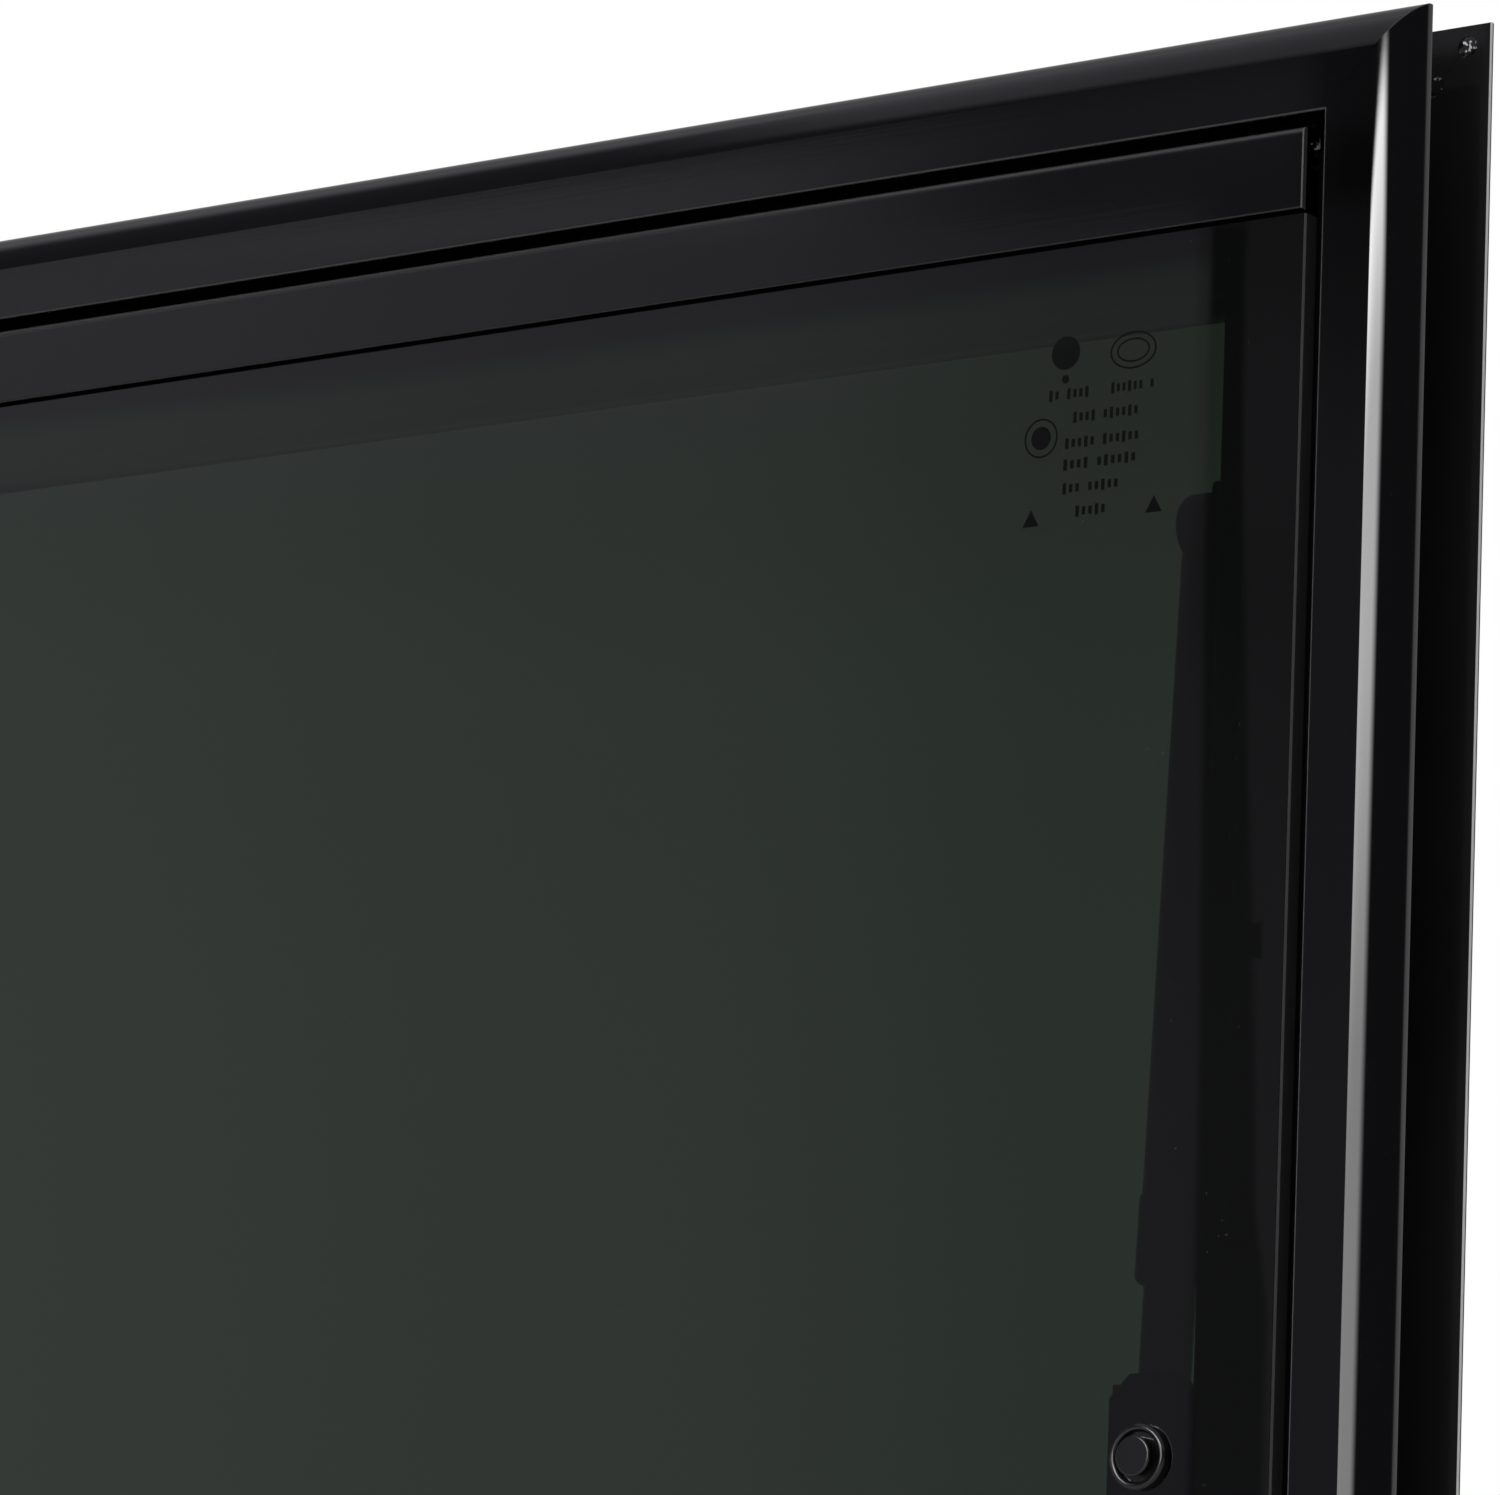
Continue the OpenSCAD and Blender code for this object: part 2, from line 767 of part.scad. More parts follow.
// Washer with a raised rim, a sunk ring and a domed button, on a stem through the glass
module glass_bolt(stem) {
    wr = washer_d / 2;
    br = button_d / 2;
    rotate([90, 0, 0])
        rotate_extrude($fn = 96) {
            translate([0, 0]) square([wr - 0.8, 0.7]);
            translate([wr - 1.6, 0]) square([1.6, 0.9]);
            translate([wr - 0.8, 0.9]) circle(r = 0.8, $fn = 32);
            square([br, 2.2]);
            square([br - 0.8, 3]);
            translate([br - 0.8, 2.2]) circle(r = 0.8, $fn = 32);
            translate([0, -stem]) square([stem_r, stem + 0.2]);
        }
}

module stay_bolt(side) {
    color(plastic)
        sided(side)
            translate([bolt_x, glass_y, bolt_z]) glass_bolt(glass_t + plate_t + nut_h);
}

module latch_bolt(side) {
    color(plastic)
        sided(side)
            translate([latch_x, glass_y, latch_bolt_z]) glass_bolt(glass_t + plate_t);
}

module bolt_nuts() {
    color(steel)
        for (side = [-1, 1])
            translate([side * bolt_x, glass_back + plate_t, bolt_z])
                rotate([-90, 0, 0])
                    difference() {
                        cylinder(h = nut_h, r = nut_r, $fn = 6);
                        translate([0, 0, -1]) cylinder(h = nut_h + 2, r = stem_r + 0.2, $fn = 32);
                    }
}

// Latches

lever_y = keeper_back + fit;
lever_t = 4.4;
shaft_drop = 8;
shaft_z = latch_bolt_z - shaft_drop;
shaft_r = 3;
shaft_len = 5;

module latch_body(side) {
    body_w = 22;
    body_h = 30;
    color(plastic)
        sided(side)
            difference() {
                translate([latch_x, lever_y - fit, latch_bolt_z - 4])
                    rotate([90, 0, 0])
                        linear_extrude(height = lever_y - fit - latch_y)
                            rounded_plate(body_w, body_h, 6);
                translate([latch_x, latch_y - 1, latch_bolt_z])
                    rotate([-90, 0, 0]) cylinder(h = plate_t + 2, r = stem_r + fit, $fn = 48);
                translate([latch_x, lever_y - shaft_len - 1, shaft_z])
                    rotate([-90, 0, 0]) cylinder(h = shaft_len + 2, r = shaft_r + fit, $fn = 48);
            }
}

// Lever with a cam that reaches behind the keeper and a grip along the sill
module latch_lever(side) {
    knob_r = 8;
    cam_w = 12;
    grip_r = 4.5;
    cam_len = shaft_z - (z_bot + ring_leg_u + ring_leg_t + 0.6);
    color(plastic)
        sided(side)
            translate([latch_x, lever_y, shaft_z]) {
                translate([0, lever_t, 0])
                    rotate([90, 0, 0])
                        linear_extrude(height = lever_t) {
                            circle(r = knob_r, $fn = 64);
                            translate([-cam_w / 2, -cam_len]) square([cam_w, cam_len]);
                            translate([-lever_len, 0.5 - grip_r]) square([lever_len, 2 * grip_r]);
                            translate([-lever_len, 0.5]) circle(r = grip_r, $fn = 48);
                        }
                translate([0, -shaft_len, 0])
                    rotate([-90, 0, 0]) cylinder(h = shaft_len + 0.5, r = shaft_r, $fn = 48);
            }
}

module latch_keeper(side) {
    seat_z = z_bot + frame_w;
    front_y = landing_y + profile_t + 0.2;
    foot_w = 30;
    lip_w = 18;
    color(plastic)
        sided(side)
            translate([latch_x, 0, seat_z]) {
                translate([-foot_w / 2, front_y, 0]) cube([foot_w, keeper_back - front_y, 2]);
                translate([-lip_w / 2, keeper_back - 4, 1]) cube([lip_w, 4, 3.5]);
            }
}

// Parts

frame_top();
frame_bottom();
frame_left();
frame_right();
reveal_top();
reveal_bottom();
reveal_left();
reveal_right();
clamp_top();
clamp_bottom();
clamp_left();
clamp_right();
clamp_screws();
clamp_corner_pins();
frame_hinge();
hinge_rail();
glass_pane();
seal_top();
seal_bottom();
seal_left();
seal_right();
stay_bracket(-1);  // stay_bracket_left
stay_tube(-1);  // stay_tube_left
stay_collar(-1);  // stay_collar_left
stay_rod(-1);  // stay_rod_left
glass_bracket(-1);  // glass_bracket_left
stay_bolt(-1);  // stay_bolt_left
stay_bracket(1);  // stay_bracket_right
stay_tube(1);  // stay_tube_right
stay_collar(1);  // stay_collar_right
stay_rod(1);  // stay_rod_right
glass_bracket(1);  // glass_bracket_right
stay_bolt(1);  // stay_bolt_right
latch_body(-1);  // latch_body_left
latch_lever(-1);  // latch_lever_left
latch_keeper(-1);  // latch_keeper_left
latch_bolt(-1);  // latch_bolt_left
latch_body(1);  // latch_body_right
latch_lever(1);  // latch_lever_right
latch_keeper(1);  // latch_keeper_right
latch_bolt(1);  // latch_bolt_right
bolt_nuts();
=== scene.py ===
"""Caravan window: glossy black frame, hinge rail, tinted glass, seals, stays, latches and clamp ring."""
import math

import bmesh
import bpy
from bpy.props import FloatProperty, FloatVectorProperty, PointerProperty
from mathutils import Matrix, Vector


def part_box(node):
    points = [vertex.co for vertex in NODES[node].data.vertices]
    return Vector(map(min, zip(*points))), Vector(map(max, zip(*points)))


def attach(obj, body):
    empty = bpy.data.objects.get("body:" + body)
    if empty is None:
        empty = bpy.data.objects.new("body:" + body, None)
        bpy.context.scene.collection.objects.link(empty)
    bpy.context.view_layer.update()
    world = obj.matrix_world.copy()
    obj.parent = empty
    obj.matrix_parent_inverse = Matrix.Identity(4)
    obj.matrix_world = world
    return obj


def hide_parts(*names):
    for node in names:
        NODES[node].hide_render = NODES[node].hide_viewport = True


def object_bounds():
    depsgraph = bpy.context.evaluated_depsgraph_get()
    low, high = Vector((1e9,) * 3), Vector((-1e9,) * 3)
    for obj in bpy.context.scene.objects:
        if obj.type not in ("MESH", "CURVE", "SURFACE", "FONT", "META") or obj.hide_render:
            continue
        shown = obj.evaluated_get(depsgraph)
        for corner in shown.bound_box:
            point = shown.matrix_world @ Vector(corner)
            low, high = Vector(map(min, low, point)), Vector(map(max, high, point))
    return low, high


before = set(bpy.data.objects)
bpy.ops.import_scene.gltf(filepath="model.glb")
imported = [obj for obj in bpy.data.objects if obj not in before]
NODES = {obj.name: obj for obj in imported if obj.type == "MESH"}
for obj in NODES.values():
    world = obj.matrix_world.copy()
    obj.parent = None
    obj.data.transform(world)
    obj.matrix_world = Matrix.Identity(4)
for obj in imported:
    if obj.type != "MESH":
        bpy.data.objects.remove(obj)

bl_info = {
    "name": "Caravan window",
    "version": (1, 0, 0),
    "blender": (4, 5, 0),
    "location": "View3D > Sidebar > Window",
    "description": "Finishes and fine parts of a top-hung caravan window",
    "category": "Object",
}

MM = 0.001
BOX_AT_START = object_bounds()

# Outer edges of the flange, taken from the frame
LEFT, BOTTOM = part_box("frame_bottom")[0][0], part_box("frame_bottom")[0][2]
RIGHT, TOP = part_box("frame_top")[1][0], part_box("frame_top")[1][2]
FACE_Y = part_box("frame_top")[0][1]
GLASS_LOW, GLASS_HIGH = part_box("glass_pane")
RING_LOW, RING_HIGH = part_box("clamp_right")
RAIL_LOW, RAIL_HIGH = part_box("hinge_rail")

SIDES = ("top", "bottom", "left", "right")
LYING = ("top", "bottom")
HANDS = ("left", "right")

# Distance of the support points that keep a flat face flat beside a rounded edge
GUARD = 0.06 * MM

# Points closer than this are one point, in metres
MERGE = 1e-7


# Shader expressions

class Sock:
    """A shader socket, number or colour that takes part in Python expressions."""

    def __init__(self, tree, source):
        self.tree = tree
        self.source = source

    def node(self, kind, settings=None, inputs=None, output=0):
        """Adds a node of any type with its settings and the values or links of its sockets."""
        made = self.tree.nodes.new(kind)
        for key, value in (settings or {}).items():
            setattr(made, key, value)
        for key, value in (inputs or {}).items():
            self.put(made.inputs[key], value)
        return Sock(self.tree, made.outputs[output])

    def put(self, socket, value):
        """Links or sets one input socket."""
        if isinstance(value, Sock):
            self.tree.links.new(value.source, socket)
        else:
            socket.default_value = value

    def math(self, operation, *values):
        return self.node("ShaderNodeMath", {"operation": operation}, dict(enumerate(values)))

    def __add__(self, other):
        return self.math("ADD", self, other)

    def __sub__(self, other):
        return self.math("SUBTRACT", self, other)

    def __rsub__(self, other):
        return self.math("SUBTRACT", other, self)

    def __mul__(self, other):
        return self.math("MULTIPLY", self, other)

    __radd__ = __add__
    __rmul__ = __mul__

    def __abs__(self):
        return self.math("ABSOLUTE", self)

    def larger(self, other):
        return self.math("MAXIMUM", self, other)

    def step(self, low, high):
        """0 below low and 1 above high, smooth between; low may be the larger."""
        flip = low > high
        ends = (high, low) if flip else (low, high)
        value = self.node("ShaderNodeMapRange", {"interpolation_type": "SMOOTHSTEP"},
                          {"Value": self, "From Min": ends[0], "From Max": ends[1]})
        return 1.0 - value if flip else value

    def between(self, start, end):
        """1 between two soft edges, each a pair from none to full."""
        return self.step(*start) * self.step(*end)

    def mix(self, first, second):
        """Colour between first and second, with this value as the share of second."""
        return self.node("ShaderNodeMix", {"data_type": "RGBA"}, {0: self, 6: first, 7: second}, 2)

    def blend(self, first, second):
        """Shader between first and second, with this value as the share of second."""
        return self.node("ShaderNodeMixShader", None, {0: self, 1: first, 2: second})

    def noise(self, scale, detail=2.0, rough=0.5):
        """Noise value on this vector."""
        return self.node("ShaderNodeTexNoise", None,
                         {"Vector": self, "Scale": scale, "Detail": detail, "Roughness": rough})

    def stretched(self, scale):
        """This vector with its axes scaled, which draws a pattern out along the small ones."""
        return self.node("ShaderNodeVectorMath", {"operation": "MULTIPLY"}, {0: self, 1: scale})

    def axis(self, name):
        """One component of this vector."""
        return self.node("ShaderNodeSeparateXYZ", None, {0: self}, "XYZ".index(name))

    def bump(self, strength, distance):
        """Normal from this height value."""
        return self.node("ShaderNodeBump", None, {"Strength": strength, "Distance": distance, "Height": self})


def new_material(name):
    """An empty node material; returns the material, a Sock for its tree and the output node."""
    mat = bpy.data.materials.new(name)
    mat.use_nodes = True
    mat.node_tree.nodes.clear()
    out = mat.node_tree.nodes.new("ShaderNodeOutputMaterial")
    return mat, Sock(mat.node_tree, None), out


def place(start):
    """Object coordinates of the piece."""
    return start.node("ShaderNodeTexCoord", None, None, "Object")


def finish_material(mat, start, out, surface):
    start.put(out.inputs["Surface"], surface)
    return mat


def shade(start, **inputs):
    """A Principled shader with the given sockets."""
    names = {key.replace("_", " "): value for key, value in inputs.items()}
    return start.node("ShaderNodeBsdfPrincipled", None, names)


def opaque(colour, share=1.0):
    """The colour made darker or lighter, as a socket takes it."""
    return tuple(channel * share for channel in colour) + (1.0,)


def grey(value):
    return opaque((value, value, value))


def uneven(cloud, colour, darkest, lightest):
    """The colour, drifting between two shares of itself with a slow noise."""
    return cloud.step(0.3, 0.7).mix(opaque(colour, darkest), opaque(colour, lightest))


def inwards(at, side, low, high):
    """Distance of a point inwards from one side of a box."""
    x, z = at.axis("X"), at.axis("Z")
    return {"left": x - low[0], "right": high[0] - x, "bottom": z - low[2], "top": high[2] - z}[side]


# Noise scales of the coat, per metre
DRAW_LINES = 1500.0
COAT_RIPPLE = 420.0
COAT_CLOUD = 14.0
COAT_DUST = 2600.0


def gloss_paint(name, colour, rough, draw, wave=0.02, painted_highlight=None, dull=None, highlight_grey=0.06):
    """Glossy black coat on a drawn section: faint draw lines along it, fine dust in it, soft sheen changes.
    draw scales Object coordinates and is small along the bar. The two masks turn the position into two
    shares: the share of coat painted a lighter grey, which is a painted highlight along edges that catch the
    light, and the share that has no gloss."""
    mat, start, out = new_material(name)
    at = place(start)
    lines = at.stretched(draw).noise(DRAW_LINES)
    cloud = at.noise(COAT_CLOUD, 3.0)
    dust = at.noise(COAT_DUST, 1.0).step(0.70, 0.78) * 0.5
    tone = dust.mix(uneven(cloud, colour, 0.85, 1.15), grey(0.02))
    # Painted highlight: where the mask is set, the coat turns a lighter grey that stands in for light caught
    # on an edge.
    if painted_highlight:
        tone = (painted_highlight(at) * (cloud * 0.4 + 0.8)).mix(tone, grey(highlight_grey))
    roughness = rough + (cloud - 0.5) * rough * 0.4 + (lines - 0.5) * rough * 0.5
    height = lines * 0.5 + at.noise(COAT_RIPPLE) * 0.5
    surface = shade(start, Base_Color=tone, Roughness=roughness, Normal=height.bump(wave, 0.4 * MM))
    if dull:
        matt = shade(start, Base_Color=tone, Roughness=0.8, Specular_IOR_Level=0.0)
        surface = dull(at).blend(surface, matt)
    return finish_material(mat, start, out, surface)


def glinting_pins(name, colour):
    """Pressed-in pins: dull black with painted glints, small near-white specks that stand in for highlights
    on their flutes.
    """
    mat, start, out = new_material(name)
    glints = place(start).noise(800.0, 2.0, 0.6).step(0.56, 0.6)
    tone = glints.mix(opaque(colour), grey(0.75))
    surface = shade(start, Base_Color=tone, Roughness=0.4, Specular_IOR_Level=0.1)
    return finish_material(mat, start, out, surface)


def moulded(name, colour, rough):
    """Satin moulded plastic with a fine eroded grain and slight changes of its sheen."""
    mat, start, out = new_material(name)
    at = place(start)
    pores = at.noise(3200.0, 3.0, 0.6)
    cloud = at.noise(60.0)
    surface = shade(start, Base_Color=uneven(cloud, colour, 0.8, 1.25),
                    Roughness=rough + (cloud - 0.5) * 0.12, Normal=pores.bump(0.12, 0.3 * MM))
    return finish_material(mat, start, out, surface)


def enamel_print(name, colour):
    """Black enamel burnt into the pane, nearly as glossy as the glass and slightly uneven."""
    mat, start, out = new_material(name)
    cloud = place(start).noise(700.0, 3.0)
    surface = shade(start, Base_Color=uneven(cloud, colour, 0.6, 1.4), Roughness=0.02 + cloud * 0.04,
                    Specular_IOR_Level=0.22)
    return finish_material(mat, start, out, surface)


def rubber(name, colour):
    """Matt extruded rubber with a fine grain and a little bloom."""
    mat, start, out = new_material(name)
    at = place(start)
    bloom = at.noise(90.0, 4.0, 0.6).step(0.45, 0.8)
    tone = bloom.mix(opaque(colour), opaque(colour, 1.7))
    grain = at.noise(2400.0, 3.0, 0.7)
    surface = shade(start, Base_Color=tone, Roughness=0.55 + bloom * 0.2,
                    Normal=grain.bump(0.25, 0.3 * MM))
    return finish_material(mat, start, out, surface)


def plated(name, colour):
    """Zinc-plated steel with fine turning marks and dull patches."""
    mat, start, out = new_material(name)
    at = place(start)
    patch = at.noise(300.0, 3.0)
    surface = shade(start, Base_Color=uneven(patch, colour, 0.8, 1.0), Metallic=1.0,
                    Roughness=0.28 + patch * 0.2, Normal=at.noise(2500.0).bump(0.1, 0.2 * MM))
    return finish_material(mat, start, out, surface)


# Width of the ground edge of the pane, and how softly it ends
GROUND_EDGE = 0.36 * MM
GROUND_SOFT = 0.05 * MM

# Height below the rail of the matt black strip on the pane, from nothing to full
UNDER_RAIL_STRIP_EDGE = (0.75 * MM, 0.65 * MM)


def inside_pane(at):
    """1 on the clear pane and 0 on its ground edge."""
    inside = 1.0
    for side in SIDES:
        from_edge = inwards(at, side, GLASS_LOW, GLASS_HIGH)
        inside = from_edge.step(GROUND_EDGE, GROUND_EDGE + GROUND_SOFT) * inside
    return inside


def tinted_glass(name, tint):
    """Dark tinted toughened glass with a dull ground edge, a little dust and a matt black strip just below
    the rail.
    """
    mat, start, out = new_material(name)
    at = place(start)
    glass = shade(start, Base_Color=opaque(tint), Roughness=0.0, IOR=1.5, Transmission_Weight=1.0)
    ground = shade(start, Base_Color=grey(0.045), Roughness=0.4)
    black = shade(start, Base_Color=grey(0.0005), Roughness=0.9, Specular_IOR_Level=0.0)
    dust = at.noise(900.0, 1.0).step(0.79, 0.83) * 0.2
    edge = 1.0 - inside_pane(at)
    under_rail_strip = at.axis("Z").step(RAIL_LOW[2] - UNDER_RAIL_STRIP_EDGE[0], RAIL_LOW[2] - UNDER_RAIL_STRIP_EDGE[1])
    pane = edge.larger(dust).blend(glass, ground)
    return finish_material(mat, start, out, under_rail_strip.blend(pane, black))


# Meshes

def piece(name, bm, mat, replaces=(), sharp=30.0):
    """Makes the finished mesh a piece of the window that rides on its body."""
    mesh = bpy.data.meshes.new(name)
    bmesh.ops.recalc_face_normals(bm, faces=bm.faces)
    bm.to_mesh(mesh)
    bm.free()
    mesh.shade_smooth()
    mesh.set_sharp_from_angle(angle=math.radians(sharp))
    obj = bpy.data.objects.new(name, mesh)
    bpy.context.scene.collection.objects.link(obj)
    mesh.materials.append(mat)
    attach(obj, "root")
    if replaces:
        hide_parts(*replaces)
    return obj


def finish_node(names, mat):
    """Gives CAD nodes their finish."""
    for name in names:
        for material_slot in NODES[name].material_slots:
            material_slot.material = mat


def new_points(geom):
    """The vertices in what an operator returns."""
    return [item for item in geom if isinstance(item, bmesh.types.BMVert)]


class Outline:
    """A profile drawn in the YZ plane with lines and arcs; u runs inwards from the outer edge, along Z."""

    def __init__(self, u, y):
        self.bm = bmesh.new()
        self.first = self.last = self.bm.verts.new((0.0, y, u))

    def line(self, u, y):
        made = bmesh.ops.extrude_vert_indiv(self.bm, verts=[self.last])
        self.last = made["verts"][0]
        self.last.co = Vector((0.0, y, u))
        return self

    def arc(self, u, y, degrees, steps):
        """Turns about the centre (u, y)."""
        made = bmesh.ops.spin(self.bm, geom=[self.last], cent=(0.0, y, u), axis=(1.0, 0.0, 0.0),
                              angle=math.radians(degrees), steps=steps)
        self.last = new_points(made["geom_last"])[0]
        return self

    def turned(self, place, steps=72):
        """Turns the outline about the Y axis into a round body at a place."""
        geom = self.bm.verts[:] + self.bm.edges[:]
        bmesh.ops.spin(self.bm, geom=geom, cent=(0.0, 0.0, 0.0), axis=(0.0, 1.0, 0.0), angle=2 * math.pi,
                       steps=steps, use_merge=True)
        bmesh.ops.remove_doubles(self.bm, verts=self.bm.verts, dist=MERGE)
        bmesh.ops.translate(self.bm, verts=self.bm.verts, vec=place)
        return self.bm

    def close(self):
        """Closes the outline into a face."""
        self.bm.edges.new((self.last, self.first))
        bmesh.ops.remove_doubles(self.bm, verts=self.bm.verts, dist=5 * MERGE)
        bmesh.ops.contextual_create(self.bm, geom=self.bm.edges[:])
        return self.bm


def mitred_bar(bm, length, gap):
    """Draws the profile out along X, centred, and cuts both ends to 45 degrees."""
    half = length / 2 - gap
    made = bmesh.ops.extrude_face_region(bm, geom=bm.faces[:])
    moved = new_points(made["geom"])
    still = [vert for vert in bm.verts if vert not in moved]
    bmesh.ops.translate(bm, verts=moved, vec=(half, 0.0, 0.0))
    bmesh.ops.translate(bm, verts=still, vec=(-half, 0.0, 0.0))
    for end in (-1.0, 1.0):
        cut = bmesh.ops.bisect_plane(bm, geom=bm.verts[:] + bm.edges[:] + bm.faces[:], dist=MERGE,
                                     plane_co=(end * half, 0.0, 0.0), plane_no=(end, 0.0, 1.0),
                                     clear_outer=True)
        rim = [item for item in cut["geom_cut"] if isinstance(item, bmesh.types.BMEdge)]
        bmesh.ops.holes_fill(bm, edges=rim, sides=0)
    bmesh.ops.remove_doubles(bm, verts=bm.verts, dist=MERGE)
    return bm


def onto_side(bm, side):
    """Moves a bar with its outer edge at Z = 0 onto one side of the window."""
    middle = Vector(((LEFT + RIGHT) / 2, 0.0, (BOTTOM + TOP) / 2))
    half_w, half_h = (RIGHT - LEFT) / 2, (TOP - BOTTOM) / 2
    offset, quarters = {
        "bottom": ((0.0, 0.0, -half_h), 0),
        "top": ((0.0, 0.0, half_h), 2),
        "left": ((-half_w, 0.0, 0.0), 1),
        "right": ((half_w, 0.0, 0.0), -1),
    }[side]
    turn = Matrix.Translation(middle + Vector(offset)) @ Matrix.Rotation(quarters * math.pi / 2, 4, "Y")
    bmesh.ops.transform(bm, matrix=turn, verts=bm.verts)
    return bm


def draw_of(side):
    """Scale of Object coordinates that draws a pattern out along a side."""
    return (0.01, 1.0, 1.0) if side in LYING else (1.0, 1.0, 0.01)


EVEN = (1.0, 1.0, 1.0)


# Settings

class FrameSettings(bpy.types.PropertyGroup):
    nose_width: FloatProperty(name="Nose width", description="Width of the bull nose",
                              default=8.4 * MM, unit="LENGTH")
    nose_radius: FloatProperty(name="Nose radius", description="Radius of the bull nose",
                               default=9.0 * MM, unit="LENGTH")
    face_width: FloatProperty(name="Face width", description="Width of the flange from the front",
                              default=19.4 * MM, unit="LENGTH")
    seat_width: FloatProperty(name="Seat width", description="Width of the flange back on the wall",
                              default=12.5 * MM, unit="LENGTH")
    seat_step: FloatProperty(name="Seat step", description="Step of the flange's back beside its seat",
                             default=0.4 * MM, unit="LENGTH")
    lip_radius: FloatProperty(name="Lip radius", description="Rounding beside the gap",
                              default=0.5 * MM, unit="LENGTH")
    mitre_gap: FloatProperty(name="Mitre gap", description="Joint left at each mitre face",
                             default=0.05 * MM, unit="LENGTH")


class FinishSettings(bpy.types.PropertyGroup):
    paint: FloatVectorProperty(name="Paint", description="Colour of the coat on frame and rail",
                               subtype="COLOR", default=(0.0008, 0.0008, 0.001))
    # The ring's coat is painted far lighter than the frame's. This is painted light that stands in for the
    # light the ring catches in the shade behind the flange.
    ring: FloatVectorProperty(name="Ring", description="Colour of the coat on the clamp ring",
                              subtype="COLOR", default=(0.019, 0.019, 0.0205))
    paint_roughness: FloatProperty(name="Paint roughness", description="Roughness of the coat",
                                   default=0.035)
    glass: FloatVectorProperty(name="Glass tint", description="Colour that the pane lets through",
                               subtype="COLOR", default=(0.0134, 0.0204, 0.0134))
    rubber: FloatVectorProperty(name="Rubber", description="Colour of the seals", subtype="COLOR",
                                default=(0.006, 0.0062, 0.0085))
    plastic: FloatVectorProperty(name="Plastic", description="Colour of stays and latches", subtype="COLOR",
                                 default=(0.0045, 0.0045, 0.005))
    print_colour: FloatVectorProperty(name="Glass print", description="Colour of the marks on the pane",
                                      subtype="COLOR", default=(0.0006, 0.0008, 0.0007))
    zinc: FloatVectorProperty(name="Zinc", description="Colour of the plated nuts", subtype="COLOR",
                              default=(0.55, 0.55, 0.56))


class MarkSettings(bpy.types.PropertyGroup):
    stroke: FloatProperty(name="Stroke", description="Width of the printed lines",
                          default=0.38 * MM, unit="LENGTH")
    thickness: FloatProperty(name="Thickness", description="Height of the print on the pane",
                             default=0.03 * MM, unit="LENGTH")


class BoltSettings(bpy.types.PropertyGroup):
    button: FloatProperty(name="Button", description="Diameter of the button",
                          default=7.7 * MM, unit="LENGTH")
    button_edge: FloatProperty(name="Button edge", description="Rounding of the button",
                               default=0.4 * MM, unit="LENGTH")
    rim: FloatProperty(name="Rim", description="Width of the washer's raised rim",
                       default=1.6 * MM, unit="LENGTH")
    rim_foot: FloatProperty(name="Rim foot", description="Straight wall under the rim's rounding",
                            default=0.1 * MM, unit="LENGTH")
    floor: FloatProperty(name="Floor", description="Height of the sunk ring",
                         default=0.5 * MM, unit="LENGTH")
    stem: FloatProperty(name="Stem", description="Diameter of the stem through the pane",
                        default=5.2 * MM, unit="LENGTH")


class StudioSettings(bpy.types.PropertyGroup):
    key: FloatProperty(name="Key", description="Brightness of the softbox in front", default=21.0)
    fill: FloatProperty(name="Fill", description="Light from the room", default=0.35)
    floor: FloatVectorProperty(name="Floor", description="Colour of the floor", subtype="COLOR",
                               default=(0.8, 0.8, 0.8))


# Pieces

